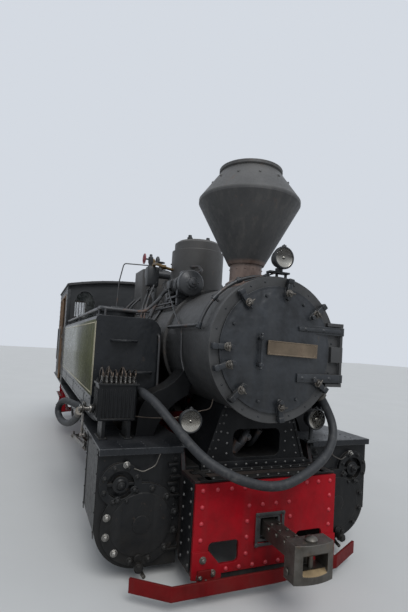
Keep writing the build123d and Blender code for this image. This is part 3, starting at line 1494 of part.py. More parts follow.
# Union at the hose's upper end, on a bracket from the smokebox, and the coupling at its lower end
first_run = (route[0] - route[1]).normalized()
with BuildPart() as hose_union:
    union_x, union_y, union_z = hose_route[0]
    for collar_back, collar_length, collar_radius in ((0, 75, 38), (4, 22, 46)):
        with BuildSketch(Plane(origin=route[0] + first_run * collar_back, z_dir=first_run)):
            Circle(collar_radius)
        extrude(amount=collar_length)
    block(union_x - 20, union_x + 20, union_y - 134, union_y - 14, union_z + 30, union_z + 60)
    rod_x(union_x - 50, union_x + 50, 0, boiler_z, smokebox_radius + seat_gap, mode=Mode.SUBTRACT)
save(hose_union, "hose_union")

coupling_start = Vector(*hose_route[-1])
coupling_direction = (coupling_start - Vector(*hose_route[-2])).normalized()
with BuildPart() as hose_coupling:
    with BuildSketch(Plane(origin=coupling_start, z_dir=coupling_direction)):
        Circle(36)
    extrude(amount=90)
save(hose_coupling, "hose_coupling")
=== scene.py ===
"""Looks of the narrow-gauge side-tank steam locomotive. Metres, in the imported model's frame.

+X points forward, +Y to the locomotive's left, +Z up. First come the camera, the materials and the tools
that make forms, then the hose and the pieces that are added to the solids, region by region.
"""
import bmesh
import bpy
import math
from itertools import product
from mathutils import Matrix, Vector


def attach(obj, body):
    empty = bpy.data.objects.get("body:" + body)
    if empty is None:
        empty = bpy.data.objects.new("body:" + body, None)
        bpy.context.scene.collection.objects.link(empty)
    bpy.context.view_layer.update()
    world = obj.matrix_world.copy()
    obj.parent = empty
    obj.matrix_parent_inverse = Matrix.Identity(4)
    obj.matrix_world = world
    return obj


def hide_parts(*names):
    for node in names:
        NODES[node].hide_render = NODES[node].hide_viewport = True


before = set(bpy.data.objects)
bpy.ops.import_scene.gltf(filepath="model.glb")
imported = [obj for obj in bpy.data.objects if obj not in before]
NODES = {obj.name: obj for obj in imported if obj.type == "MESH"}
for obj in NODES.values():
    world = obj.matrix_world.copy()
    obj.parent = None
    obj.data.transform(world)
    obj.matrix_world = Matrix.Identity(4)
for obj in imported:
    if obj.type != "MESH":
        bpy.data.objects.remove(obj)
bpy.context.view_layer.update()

# Sizes that the solids were built from
AXLE_Z = 0.375
AXLE_XS = (1.7, 0.8, -0.1, -1.0)
BEAM_X = 3.2
REAR_BEAM_X = -3.2
BEAM_HALF = 0.533
FRAME_Y = 0.533
BOILER_Z = 1.554
BOILER_RADIUS = 0.5
SMOKEBOX_RADIUS = 0.48
SMOKEBOX_FRONT_X = 3.181
CHIMNEY_X = 2.677
DOME_X = 1.595
PLATE_Z = 0.867
HALF_WIDTH = 1.087
CYLINDER_Y = 0.79
CYLINDER_FRONT_X = 2.925
CYLINDER_REAR_X = 2.325
VALVE_Y = 0.938
VALVE_Z = 0.634
CAB_FRONT_X = -0.85
CAB_REAR_X = -2.48
TANK_FRONT_X = 2.364
TANK_BOTTOM_Z = 1.12
TANK_TOP_Z = 1.742

# Camera where the photograph was taken: eye point, axes, and the lens for the 36 mm long side
CAMERA_EYE = Vector((5.5865, -1.5233, 1.5452))
CAMERA_RIGHT = Vector((0.3817864, 0.92237647, 0.0588285))
CAMERA_UP = Vector((0.02041432, -0.07205, 0.99719208))
CAMERA_LENS = 24.38
CAMERA_SHIFT_Y = 0.0348


def link(item):
    bpy.context.scene.collection.objects.link(item)
    return item


camera_data = bpy.data.cameras.new("camera")
camera_data.sensor_fit = "AUTO"
camera_data.sensor_width = 36
camera_data.lens = CAMERA_LENS
camera_data.shift_y = CAMERA_SHIFT_Y
camera_data.clip_end = 200
camera = link(bpy.data.objects.new("camera", camera_data))
axes = Matrix((CAMERA_RIGHT, CAMERA_UP, CAMERA_RIGHT.cross(CAMERA_UP))).transposed().to_4x4()
camera.matrix_world = Matrix.Translation(CAMERA_EYE) @ axes
bpy.context.scene.camera = camera


# Materials
class Paint:
    """A node material whose mottling, dust and wear follow the piece's own coordinates."""

    def __init__(self, name):
        self.data = bpy.data.materials.new(name)
        self.data.use_nodes = True
        self.tree = self.data.node_tree
        self.shader = self.tree.nodes["Principled BSDF"]
        self.place = self.add("ShaderNodeTexCoord").outputs["Object"]
        self.split = self.add("ShaderNodeSeparateXYZ", {0: self.place})
        self.normal = self.add("ShaderNodeNewGeometry").outputs["Normal"]
        self.facing_up = self.add("ShaderNodeSeparateXYZ", {0: self.normal}).outputs["Z"]

    def add(self, kind, inputs=None, **settings):
        node = self.tree.nodes.new(kind)
        for key, value in settings.items():
            setattr(node, key, value)
        for key, value in (inputs or {}).items():
            self.feed(node.inputs[key], value)
        return node

    def feed(self, socket, value):
        if isinstance(value, bpy.types.NodeSocket):
            self.tree.links.new(value, socket)
        else:
            socket.default_value = value

    def set(self, **values):
        for key, value in values.items():
            self.feed(self.shader.inputs[key.replace("_", " ")], value)

    def noise(self, scale, detail=5.0, stretch=(1, 1, 1), rough=0.6):
        scaled = self.add("ShaderNodeMapping", {"Vector": self.place, "Scale": stretch})
        inputs = {"Vector": scaled.outputs[0], "Scale": scale, "Detail": detail, "Roughness": rough}
        return self.add("ShaderNodeTexNoise", inputs).outputs["Fac"]

    def ramp(self, value, low, high, out_low=0.0, out_high=1.0):
        inputs = {"Value": value, "From Min": low, "From Max": high, "To Min": out_low, "To Max": out_high}
        return self.add("ShaderNodeMapRange", inputs).outputs["Result"]

    def calc(self, operation, a, b=0.5, c=0.5):
        return self.add("ShaderNodeMath", {0: a, 1: b, 2: c}, operation=operation).outputs[0]

    def times(self, a, b):
        return self.calc("MULTIPLY", a, b)

    def mix(self, factor, a, b):
        node = self.add("ShaderNodeMix", {0: factor}, data_type="RGBA")
        for index, value in ((6, a), (7, b)):
            self.feed(node.inputs[index], value if not isinstance(value, tuple) else (*value, 1))
        return node.outputs[2]

    def edges(self, radius):
        """The rounded normal, and a factor that is 1 along the solid's edges and 0 on its flats."""
        soft = self.add("ShaderNodeBevel", {"Radius": radius}, samples=6).outputs[0]
        likeness = self.add("ShaderNodeVectorMath", {0: soft, 1: self.normal}, operation="DOT_PRODUCT")
        return soft, self.ramp(likeness.outputs["Value"], 0.985, 0.80)

    def bump(self, height, strength, distance, normal=None):
        inputs = {"Height": height, "Strength": strength, "Distance": distance}
        if normal is not None:
            inputs["Normal"] = normal
        return self.add("ShaderNodeBump", inputs).outputs[0]


def painted(
    name, colour, rough=0.42, mottle=0.35, dust=(0.16, 0.14, 0.115), dust_amount=0.5, low_dirt=0.5,
    edge=(0.13, 0.125, 0.12), edge_amount=0.5, streak=0.35, chips=(0.11, 0.075, 0.05), chip_amount=0.5,
    grain=0.25, specular=0.5, wave=0.25, sheen_tint=(1.0, 1.0, 1.0), black_ahead_of=None,
):
    """Old oil paint on steel: mottled, dusty on top, browned low down, streaked and rubbed on edges."""
    m = Paint(name)
    clouds = m.noise(2.3, 6)
    fine = m.noise(38, 6, rough=0.7)
    streaks = m.noise(9, 4, (1, 1, 0.06))
    darker = tuple(c * (1 - mottle) for c in colour)
    lighter = tuple(min(c * (1 + mottle) + 0.004, 1) for c in colour)
    tone = m.mix(m.ramp(clouds, 0.32, 0.68), darker, lighter)
    tone = m.mix(m.times(m.ramp(m.noise(11, 7, rough=0.7), 0.42, 0.7), mottle), tone, lighter)
    if black_ahead_of is not None:
        ahead = m.ramp(m.split.outputs["X"], black_ahead_of, black_ahead_of + 0.02)
        tone = m.mix(ahead, tone, (0.011, 0.011, 0.012))
    upright = m.ramp(m.calc("ABSOLUTE", m.facing_up), 0.6, 0.2)
    run_down = m.times(m.ramp(streaks, 0.52, 0.74), upright)
    tone = m.mix(m.times(run_down, streak), tone, tuple(c * 0.5 + 0.02 for c in colour))
    soft, edge_line = m.edges(0.007)
    rubbed = m.times(edge_line, m.ramp(fine, 0.35, 0.62))
    tone = m.mix(m.times(rubbed, edge_amount), tone, edge)
    flaking = m.times(m.noise(16, 8, rough=0.75), m.ramp(clouds, 0.3, 0.6, 0.6, 1.0))
    chip_spots = m.ramp(flaking, 0.60, 0.64)
    tone = m.mix(m.times(chip_spots, chip_amount), tone, chips)
    lying = m.times(m.ramp(m.facing_up, 0.35, 0.95), m.ramp(m.noise(6, 6), 0.25, 0.7))
    low = m.times(m.ramp(m.split.outputs["Z"], 0.85, 0.05), m.ramp(m.noise(7, 6), 0.3, 0.75))
    dusty = m.calc("MAXIMUM", m.times(lying, dust_amount), m.times(low, low_dirt))
    m.set(Base_Color=m.mix(dusty, tone, dust))
    m.set(Roughness=m.calc("ADD", m.ramp(fine, 0.3, 0.7, rough - 0.09, rough + 0.12), m.times(dusty, 0.35)))
    m.set(Specular_IOR_Level=specular, Specular_Tint=(*sheen_tint, 1))
    height = m.calc("ADD", m.times(fine, 0.35), m.times(chip_spots, -0.4))
    uneven = m.bump(m.noise(4.5, 3), wave, 0.02, soft)
    m.set(Normal=m.bump(height, grain, 0.002, uneven))
    return m.data


def metal(
    name, colour, rough=0.32, rust=(0.16, 0.07, 0.03), rust_amount=0.4, oil=0.4, metallic=1.0, low_dirt=0.3,
):
    """Bare metal with machining grain, dark oil in patches, and rust."""
    m = Paint(name)
    clouds = m.noise(4, 6)
    fine = m.noise(60, 6, rough=0.75)
    soft, edge_line = m.edges(0.005)
    darker, lighter = tuple(c * 0.62 for c in colour), tuple(min(1, c * 1.25) for c in colour)
    tone = m.mix(m.ramp(clouds, 0.3, 0.7), darker, lighter)
    tone = m.mix(m.times(m.ramp(m.noise(7, 5), 0.48, 0.66), oil), tone, (0.025, 0.021, 0.017))
    spots = m.times(m.noise(12, 8, rough=0.8), m.ramp(clouds, 0.35, 0.6, 0.7, 1.0))
    rusty = m.times(m.ramp(spots, 0.5, 0.62), rust_amount)
    tone = m.mix(rusty, tone, rust)
    tone = m.mix(m.times(edge_line, 0.35), tone, tuple(min(1, c * 1.7 + 0.05) for c in colour))
    patches = m.times(m.ramp(m.noise(6, 6), 0.35, 0.75), low_dirt)
    low = m.times(m.ramp(m.split.outputs["Z"], 0.8, 0.1), patches)
    m.set(Base_Color=m.mix(low, tone, (0.13, 0.11, 0.085)))
    spoiled = m.calc("MAXIMUM", rusty, low)
    m.set(Metallic=m.calc("MULTIPLY_ADD", spoiled, -metallic * 0.8, metallic))
    m.set(Roughness=m.calc("ADD", m.ramp(fine, 0.3, 0.7, rough - 0.1, rough + 0.14), m.times(spoiled, 0.4)))
    m.set(Normal=m.bump(m.calc("ADD", fine, m.times(rusty, 0.7)), 0.25, 0.0015, soft))
    return m.data


black = painted(
    "black_paint", (0.014, 0.0155, 0.017), rough=0.46, dust=(0.085, 0.08, 0.072), dust_amount=0.34,
    edge=(0.1, 0.1, 0.1), specular=0.4,
)
# Smokebox door paint: its strong mottle and streaks are partly random tone and grime, partly a painted
# reflection of the door's cloudy, streaky sheen
satin_black = painted(
    "smokebox_paint", (0.0145, 0.0165, 0.0195), rough=0.34, mottle=0.75, dust=(0.1, 0.092, 0.08),
    dust_amount=0.35, streak=0.7, chip_amount=0.35, grain=0.6, wave=0.9, specular=0.42,
)
shell_black = painted(
    "smokebox_shell_paint", (0.034, 0.034, 0.034), rough=0.5, mottle=0.4, dust=(0.11, 0.1, 0.09),
    dust_amount=0.4, streak=0.4, chip_amount=0.35, grain=0.4, wave=0.4,
)
greasy_black = painted(
    "greasy_black", (0.003, 0.0035, 0.0042), rough=0.36, mottle=0.6, dust=(0.05, 0.043, 0.034),
    dust_amount=0.4, low_dirt=0.3, streak=0.5, grain=0.7, wave=0.5, specular=0.21,
    edge=(0.075, 0.072, 0.068), chips=(0.05, 0.036, 0.026),
)
fitting_black = painted(
    "fitting_black", (0.026, 0.027, 0.029), rough=0.36, mottle=0.6, dust=(0.09, 0.08, 0.068),
    dust_amount=0.4, streak=0.4, grain=0.5, specular=0.45, edge=(0.13, 0.128, 0.124),
)
saddle_black = painted(
    "saddle_paint", (0.0028, 0.0031, 0.0037), rough=0.46, mottle=0.6, dust=(0.045, 0.041, 0.036),
    dust_amount=0.35, low_dirt=0.1, specular=0.17, edge=(0.045, 0.045, 0.045), chips=(0.035, 0.03, 0.026),
)
boiler_paint = painted(
    "boiler_paint", (0.04, 0.038, 0.036), rough=0.5, dust=(0.13, 0.115, 0.095), dust_amount=0.4,
    streak=0.3, mottle=0.35,
)
tank_paint = painted(
    "tank_paint", (0.0058, 0.0068, 0.0082), rough=0.33, dust=(0.075, 0.072, 0.066), dust_amount=0.4,
    streak=0.4, chip_amount=0.2, mottle=0.6, grain=0.2, wave=0.5, specular=0.28, edge=(0.07, 0.07, 0.07),
)
# Glossy tank sides: the olive colour and the olive tint of the sheen are a painted reflection of green
# surroundings
tank_painted_reflection = painted(
    "tank_side_painted_reflection", (0.054, 0.057, 0.026), rough=0.24, dust=(0.07, 0.065, 0.045), dust_amount=0.2,
    low_dirt=0.2, streak=0.5, chip_amount=0.1, mottle=0.6, grain=0.1, wave=0.5, specular=0.15,
    sheen_tint=(0.8, 0.8, 0.6),
)
red = painted(
    "red_paint", (0.245, 0.0012, 0.006), rough=0.4, mottle=0.34, dust=(0.034, 0.016, 0.014),
    dust_amount=0.3, low_dirt=0.62, edge=(0.24, 0.025, 0.028), edge_amount=0.55, streak=0.35,
    chips=(0.04, 0.02, 0.018), chip_amount=0.7, grain=0.25, wave=0.4, specular=0.12,
    sheen_tint=(1.0, 0.72, 0.74),
)
low_red = painted(
    "low_red_paint", (0.118, 0.0008, 0.0022), rough=0.46, mottle=0.35, dust=(0.075, 0.04, 0.03),
    dust_amount=0.35, low_dirt=0.25, edge=(0.2, 0.03, 0.03), edge_amount=0.6, streak=0.4,
    chips=(0.035, 0.022, 0.018), chip_amount=0.8, grain=0.3, specular=0.1, sheen_tint=(1.0, 0.72, 0.74),
)
frame_red = painted(
    "frame_paint", (0.17, 0.003, 0.006), rough=0.46, mottle=0.3, dust=(0.085, 0.06, 0.045),
    dust_amount=0.45, low_dirt=0.5, edge=(0.18, 0.03, 0.03), streak=0.4, chips=(0.035, 0.022, 0.018),
    chip_amount=0.7, specular=0.26, black_ahead_of=2.34,
)
# Rivets of the beams: the beam's red painted lighter and pinker with pale pink rims, a painted highlight on
# their domes
highlit_rivet_red = painted(
    "red_rivet_painted_highlight", (0.36, 0.014, 0.026), rough=0.34, edge=(0.45, 0.16, 0.16), edge_amount=0.85,
    dust_amount=0.25, low_dirt=0.2, chips=(0.12, 0.05, 0.04), specular=0.4,
)
roof_paint = painted(
    "roof_paint", (0.022, 0.022, 0.023), rough=0.62, dust=(0.085, 0.08, 0.072), dust_amount=0.6, grain=0.5,
    wave=0.6,
)
deck_paint = painted(
    "deck_paint", (0.0065, 0.0078, 0.01), rough=0.3, dust=(0.055, 0.055, 0.056), dust_amount=0.5,
    edge=(0.17, 0.175, 0.18), edge_amount=0.8, chips=(0.08, 0.06, 0.05), chip_amount=0.6, grain=0.5,
    mottle=0.5, specular=0.32,
)
motion = metal("motion_steel", (0.22, 0.21, 0.195), rough=0.28, rust_amount=0.45, oil=0.85, low_dirt=0.12)
worn_steel = metal(
    "worn_steel", (0.135, 0.125, 0.112), rough=0.44, rust=(0.13, 0.07, 0.028), rust_amount=0.6, oil=0.6,
)
lip_steel = metal(
    "worn_lip", (0.4, 0.29, 0.16), rough=0.36, rust=(0.22, 0.12, 0.04), rust_amount=0.6, oil=0.3,
)
rail_steel = metal("painted_pipe", (0.055, 0.056, 0.058), rough=0.4, rust_amount=0.5, oil=0.2, metallic=0.4)
copper = metal(
    "aged_copper", (0.115, 0.092, 0.075), rough=0.4, rust=(0.045, 0.034, 0.028), rust_amount=0.6, oil=0.5,
)
brass = metal(
    "aged_brass", (0.2, 0.135, 0.065), rough=0.36, rust=(0.075, 0.048, 0.028), rust_amount=0.6, oil=0.45,
)
plate_brass = metal(
    "plate_brass", (0.185, 0.142, 0.1), rough=0.42, rust=(0.1, 0.06, 0.04), rust_amount=0.7, oil=0.2,
    metallic=0.8,
)
# Bright steel for a few nuts on the cylinders: a painted glint
glint_nut_steel = metal("glint_nut_steel", (0.3, 0.29, 0.27), rough=0.3, rust_amount=0.3, oil=0.4)
dim_steel = metal(
    "dim_rivets", (0.125, 0.123, 0.12), rough=0.42, rust=(0.06, 0.04, 0.03), rust_amount=0.5, oil=0.5,
    metallic=0.7,
)


def wheel_paint(name, centre_x):
    """Red wheels with a worn tyre and greasy grime, by the distance from the axle."""
    m = Paint(name)
    across = m.calc("SUBTRACT", m.split.outputs["X"], centre_x)
    above = m.calc("SUBTRACT", m.split.outputs["Z"], AXLE_Z)
    radius = m.calc("SQRT", m.calc("ADD", m.times(across, across), m.times(above, above)))
    fine = m.noise(40, 6, rough=0.7)
    soft, edge_line = m.edges(0.006)
    tone = m.mix(m.ramp(m.noise(5, 5), 0.3, 0.7), (0.17, 0.006, 0.01), (0.30, 0.012, 0.018))
    tone = m.mix(m.times(m.ramp(m.noise(9, 7), 0.45, 0.68), 0.8), tone, (0.045, 0.032, 0.026))
    tyre = m.ramp(radius, 0.330, 0.333)
    tone = m.mix(tyre, tone, m.mix(m.ramp(fine, 0.35, 0.65), (0.10, 0.09, 0.08), (0.26, 0.25, 0.235)))
    tone = m.mix(m.times(edge_line, 0.4), tone, (0.30, 0.20, 0.18))
    m.set(Base_Color=tone)
    m.set(Metallic=m.times(tyre, 0.9))
    m.set(Roughness=m.ramp(fine, 0.3, 0.7, 0.34, 0.6))
    m.set(Normal=m.bump(fine, 0.3, 0.002, soft))
    return m.data


def chimney_paint():
    """Heat-worn chimney: brown stub, dark lower cone with streaks, paler upper cone."""
    m = Paint("chimney_paint")
    height = m.split.outputs["Z"]
    clouds = m.noise(3, 6)
    fine = m.noise(45, 7, rough=0.7)
    streaks = m.noise(17, 5, (1, 1, 0.05))
    soft, edge_line = m.edges(0.006)
    cone = m.mix(m.ramp(clouds, 0.3, 0.7), (0.024, 0.024, 0.025), (0.048, 0.047, 0.046))
    cone = m.mix(m.times(m.ramp(streaks, 0.5, 0.7), 0.45), cone, (0.085, 0.078, 0.07))
    patches = m.ramp(m.noise(14, 7, (1, 1, 0.4)), 0.35, 0.65)
    stub = m.mix(patches, (0.075, 0.045, 0.034), (0.15, 0.105, 0.085))
    tone = m.mix(m.ramp(height, 2.215, 2.235), stub, cone)
    top = m.mix(m.ramp(clouds, 0.3, 0.7), (0.060, 0.059, 0.058), (0.105, 0.102, 0.098))
    tone = m.mix(m.ramp(height, 2.695, 2.705), tone, top)
    soot = m.times(m.ramp(height, 2.88, 2.97), m.ramp(fine, 0.3, 0.6, 0.5, 1.0))
    tone = m.mix(m.times(soot, 0.7), tone, (0.02, 0.018, 0.017))
    rusty = m.ramp(m.times(m.noise(13, 8, rough=0.8), m.ramp(clouds, 0.3, 0.6, 0.75, 1.0)), 0.55, 0.63)
    tone = m.mix(m.times(rusty, 0.45), tone, (0.11, 0.062, 0.04))
    tone = m.mix(m.times(edge_line, 0.4), tone, (0.12, 0.115, 0.11))
    m.set(Base_Color=tone)
    m.set(Roughness=m.ramp(fine, 0.3, 0.7, 0.42, 0.68))
    m.set(Normal=m.bump(fine, 0.4, 0.002, soft))
    return m.data


def hose_rubber():
    """Matt grey rubber with the print of its fabric wrapping and pale scuffs."""
    m = Paint("hose_rubber")
    clouds = m.noise(6, 6)
    weave = m.noise(260, 3)
    tone = m.mix(m.ramp(clouds, 0.3, 0.7), (0.0065, 0.0075, 0.009), (0.0145, 0.016, 0.019))
    tone = m.mix(m.times(m.ramp(m.noise(22, 7), 0.52, 0.7), 0.5), tone, (0.075, 0.073, 0.068))
    lying = m.times(m.ramp(m.facing_up, 0.2, 0.9), 0.3)
    tone = m.mix(lying, tone, (0.060, 0.062, 0.066))
    m.set(Base_Color=tone)
    m.set(Roughness=m.ramp(clouds, 0.3, 0.7, 0.5, 0.72))
    m.set(Normal=m.bump(m.calc("ADD", weave, m.times(m.noise(30, 5), 0.8)), 0.35, 0.0015))
    return m.data


def lamp_mirror():
    """A dulled silver reflector, darkened with painted shade where the dish looks down."""
    m = Paint("lamp_mirror")
    silver = m.mix(m.ramp(m.noise(7, 3), 0.3, 0.7), (0.40, 0.37, 0.32), (0.66, 0.63, 0.56))
    # Painted shade: the dish goes dark where its surface faces down
    m.set(Base_Color=m.mix(m.ramp(m.facing_up, -0.05, 0.12), (0.07, 0.066, 0.06), silver))
    m.set(Metallic=1.0, Roughness=m.ramp(m.noise(5, 3), 0.3, 0.7, 0.08, 0.20))
    return m.data


def pane(name, clean, dusty, thinnest, thickest):
    """Thin glass: mostly see-through, with a dusty reflecting film."""
    m = Paint(name)
    film = m.noise(9, 6)
    m.set(Base_Color=m.mix(m.ramp(film, 0.35, 0.7), clean, dusty))
    m.set(Alpha=m.ramp(film, 0.35, 0.75, thinnest, thickest), Roughness=0.05)
    return m.data


lamp_glass = pane("lamp_glass", (0.05, 0.048, 0.042), (0.2, 0.19, 0.17), 0.1, 0.22)
window_glass = pane("window_glass", (0.02, 0.026, 0.025), (0.1, 0.105, 0.1), 0.16, 0.34)
mirror = lamp_mirror()
rubber = hose_rubber()
cream = painted(
    "cream_line", (0.42, 0.38, 0.27), rough=0.4, dust_amount=0.2, low_dirt=0.1, edge_amount=0.1,
    chips=(0.05, 0.05, 0.045),
)
dial_white = painted(
    "dial_face", (0.6, 0.58, 0.52), rough=0.3, dust_amount=0.1, edge_amount=0.0, chip_amount=0.1,
)
valve_red = painted("valve_red", (0.26, 0.03, 0.045), rough=0.4, edge=(0.3, 0.15, 0.14))

leather = painted(
    "seat_cover", (0.05, 0.02, 0.012), rough=0.5, edge=(0.12, 0.07, 0.04), chips=(0.1, 0.06, 0.04),
    grain=0.6,
)
wood = painted(
    "old_wood", (0.13, 0.075, 0.038), rough=0.6, mottle=0.5, streak=0.2, dust=(0.14, 0.12, 0.1), grain=0.7,
    edge=(0.22, 0.15, 0.09), chips=(0.05, 0.035, 0.02),
)

FINISHES = {
    satin_black: ("smokebox_door",),
    shell_black: ("smokebox",),
    saddle_black: ("smokebox_saddle", "steam_pipe_cases"),
    greasy_black: ("cylinder", "springs", "brake_gear", "ashpan", "blast_pipe", "lubricator"),
    fitting_black: ("generator", "turret"),
    boiler_paint: ("boiler", "steam_dome", "sand_box", "fire_door"),
    tank_paint: ("side_tank", "tank_lid"),
    red: ("buffer_beam", "cab_steps"),
    low_red: ("guard_bar",),
    frame_red: ("frame_stretchers", "frame_plate"),
    roof_paint: ("cab_roof",),
    deck_paint: ("running_plates", "tank_bearers", "cab_floor"),
    motion: ("coupling_rod", "connecting_rod", "crosshead", "guide_bars", "valve_gear"),
    worn_steel: ("coupler", "hose_coupling", "hose_union"),
    rail_steel: ("handrails",),
    chimney_paint(): ("chimney",),
}
finish_of = {kind: finish for finish, kinds in FINISHES.items() for kind in kinds}
for index, centre_x in enumerate(AXLE_XS):
    finish_of[f"wheelset_{index + 1}"] = wheel_paint(f"wheel_paint_{index + 1}", centre_x)
for node, item in NODES.items():
    for ending in ("_right", "_left", "_front", "_rear"):
        node = node.removesuffix(ending)
    finish = finish_of.get(node, black)
    if len(item.material_slots) == 0:
        item.data.materials.append(finish)
    for slot in item.material_slots:
        slot.material = finish


# Directions and places that the forms are laid out with
AHEAD, BACK, OUT, IN, UP, DOWN = (1, 0, 0), (-1, 0, 0), (0, 1, 0), (0, -1, 0), (0, 0, 1), (0, 0, -1)
ENDS = ((BEAM_X, AHEAD), (REAR_BEAM_X, BACK))


def row(first, step, count):
    return [first + step * index for index in range(count)]


def pairs(middle, reach):
    """Two numbers at a reach from the middle, or from each of several middles."""
    middles = middle if isinstance(middle, (list, tuple)) else (middle,)
    return [centre + side for centre in middles for side in (-reach, reach)]


def polar(radius, degrees):
    angle = math.radians(degrees)
    return radius * math.cos(angle), radius * math.sin(angle)


def ring(count, radius, start=0.0):
    """Points round a circle as (cosine, sine) times the radius, from a start angle in degrees."""
    return [polar(radius, start + 360 * index / count) for index in range(count)]


def barrel(radius, degrees):
    """(y, z) at a distance from the boiler's axis."""
    y, rise = polar(radius, degrees)
    return y, BOILER_Z + rise


def grid(place):
    """Every place that a place stands for: each coordinate is a number or a row of numbers."""
    return list(product(*[c if isinstance(c, (list, tuple)) else (c,) for c in place]))


def both_sides():
    """Makes a loop run for the right and then the left side, with y measured outwards in each form."""
    for side, hand in (("right", -1), ("left", 1)):
        Form.hand = hand
        yield side
    Form.hand = 1


def frame_to(origin, normal, turn=0.0):
    """A matrix whose Z points along the normal, standing at the origin."""
    turned = Vector(normal).normalized().to_track_quat("Z", "Y").to_matrix().to_4x4()
    return Matrix.Translation(origin) @ turned @ Matrix.Rotation(turn, 4, "Z")


class Form:
    """Collects boxes, turned forms, pipes, rivets and bolts into one piece."""

    hand = 1

    def __init__(self):
        self.mesh = bmesh.new()

    def at(self, place):
        return Vector((place[0], self.hand * place[1], place[2]))

    def around(self, origin, normal, count, radius):
        """Places on a circle round the normal."""
        matrix = frame_to(self.at(origin), self.at(normal))
        return [self.at(matrix @ Vector((*point, 0))) for point in ring(count, radius)]

    def corners(self, places):
        return [self.mesh.verts.new(place) for place in places]

    def skin(self, lower, upper):
        """Faces between two outlines, of which one may be a single point."""
        count = max(len(lower), len(upper))
        for i, j in zip(range(count), [*range(1, count), 0]):
            below = lower[i % len(lower)], lower[j % len(lower)]
            above = upper[j % len(upper)], upper[i % len(upper)]
            self.mesh.faces.new(tuple(dict.fromkeys(below + above)))

    def box(self, low, high, bevel=0.003, segments=2):
        size = [abs(b - a) for a, b in zip(low, high)]
        self.block(Matrix.Translation((self.at(low) + self.at(high)) / 2), size, bevel, segments)

    def slab(self, middle, size, bevel=0.003):
        """Boxes of a size round each place of a grid."""
        for place in grid(middle):
            self.block(Matrix.Translation(self.at(place)), size, bevel)

    def block(self, matrix, size, bevel=0.003, segments=2):
        """A box of a size, placed by its middle's matrix."""
        made = bmesh.ops.create_cube(self.mesh, size=1)["verts"]
        bmesh.ops.transform(self.mesh, matrix=matrix @ Matrix.Diagonal((*size, 1)), verts=made)
        edges = list({edge for vert in made for edge in vert.link_edges})
        bevel = min(bevel, min(size) * 0.4)
        bmesh.ops.bevel(self.mesh, geom=edges, offset=bevel, segments=segments, affect="EDGES", profile=0.5)

    def turned(self, origin, axis, profile, segments=32, turn=0.0):
        """Lathe forms on a grid, from (height along the axis, radius) pairs; a zero radius closes one."""
        for place in grid(origin):
            matrix = frame_to(self.at(place), self.at(axis), turn)
            rings = []
            for height, radius in profile:
                circle = ring(segments if radius else 1, radius)
                rings.append(self.corners(matrix @ Vector((*point, height)) for point in circle))
            for lower, upper in zip(rings, rings[1:]):
                if len(lower) > 1 or len(upper) > 1:
                    self.skin(lower, upper)

    def rod(self, start, end, radius, segments=16, bevel=0.002):
        """Rods with chamfered ends, one for each place of the two ends' like grids."""
        for near, far in zip(grid(start), grid(end)):
            way = Vector(far) - Vector(near)
            length = way.length
            edge = min(bevel, length * 0.3, radius * 0.4)
            foot, top = ((0, 0), (0, radius - edge)), ((length, radius - edge), (length, 0))
            self.turned(near, way, (*foot, (edge, radius), (length - edge, radius), *top), segments)

    def rivet(self, origin, normal, radius=0.012):
        dome = [(radius * 0.72 * math.sin(a), radius * math.cos(a)) for a in (0, 0.5, 1.0)]
        self.turned(origin, normal, [*dome, (radius * 0.72, 0)], 10)

    def bolt(self, origin, normal, radius=0.016, height=0.013, washer=True, turn=0.2):
        base = 0.003 if washer else 0.0
        if washer:
            self.turned(origin, normal, ((0, radius * 1.35), (base, radius * 1.35), (base, 0)), 16)
        top = base + height
        head = (base, radius), (base + height * 0.8, radius), (top, radius * 0.82), (top, 0)
        self.turned(origin, normal, head, 6, turn)

    def nut(self, origin, normal, radius=0.016, height=0.013, stud=0.012):
        self.bolt(origin, normal, radius, height)
        top = height + stud
        end = (0, radius * 0.5), (top, radius * 0.5), (top + 0.002, radius * 0.3), (top + 0.002, 0)
        self.turned(origin, normal, end, 10)

    def pipe(self, points, radius, segments=10, bend=0.03):
        """A round pipe through the points, with its corners rounded."""
        points = [self.at(p) for p in points]
        path = [points[0]]
        for before, here, after in zip(points, points[1:], points[2:]):
            reach = min(bend, (here - before).length * 0.45, (after - here).length * 0.45)
            start = here + (before - here).normalized() * reach
            end = here + (after - here).normalized() * reach
            for t in (0, 0.25, 0.5, 0.75, 1):
                path.append(start * (1 - t) ** 2 + here * 2 * t * (1 - t) + end * t**2)
        path.append(points[-1])
        side = Vector(UP).cross(path[1] - path[0])
        if side.length < 1e-5:
            side = Vector(AHEAD).cross(path[1] - path[0])
        rings = []
        for index, point in enumerate(path):
            ahead = (path[min(index + 1, len(path) - 1)] - path[max(index - 1, 0)]).normalized()
            side = (side - ahead * side.dot(ahead)).normalized()
            up = ahead.cross(side)
            rings.append([point + a * side + b * up for a, b in ring(segments, radius)])
        self.joined(rings)

    def joined(self, rings, closed=False):
        """A skin over like outlines, capped at its ends unless it closes on itself."""
        made = [self.corners(outline) for outline in rings]
        for lower, upper in zip(made, made[1:] + made[:1] if closed else made[1:]):
            self.skin(lower, upper)
        if not closed:
            self.mesh.faces.new(made[0][::-1])
            self.mesh.faces.new(made[-1])

    def loft(self, rings, closed=False):
        self.joined([[self.at(p) for p in outline] for outline in rings], closed)

    def plate(self, outline, direction, thickness):
        """A flat plate: its outline's corners in order, pushed along the direction."""
        push = Vector(direction).normalized() * thickness
        self.loft([outline, [Vector(p) + push for p in outline]])

    def wheel(self, origin, normal, radius, rim=0.008, spokes=5):
        """Small handwheels on a grid, each with a round rim, spokes and a hub."""
        for place in grid(origin):
            hoop = self.around(place, normal, 20, radius)
            self.pipe([*hoop, hoop[0]], rim, 8, bend=0.001)
            for tip in self.around(place, normal, spokes, radius):
                self.rod(place, tip, rim * 0.7, 8)
            self.turned(place, normal, ((-0.012, 0), (-0.012, rim * 2), (0.012, rim * 2), (0.012, 0)), 14)

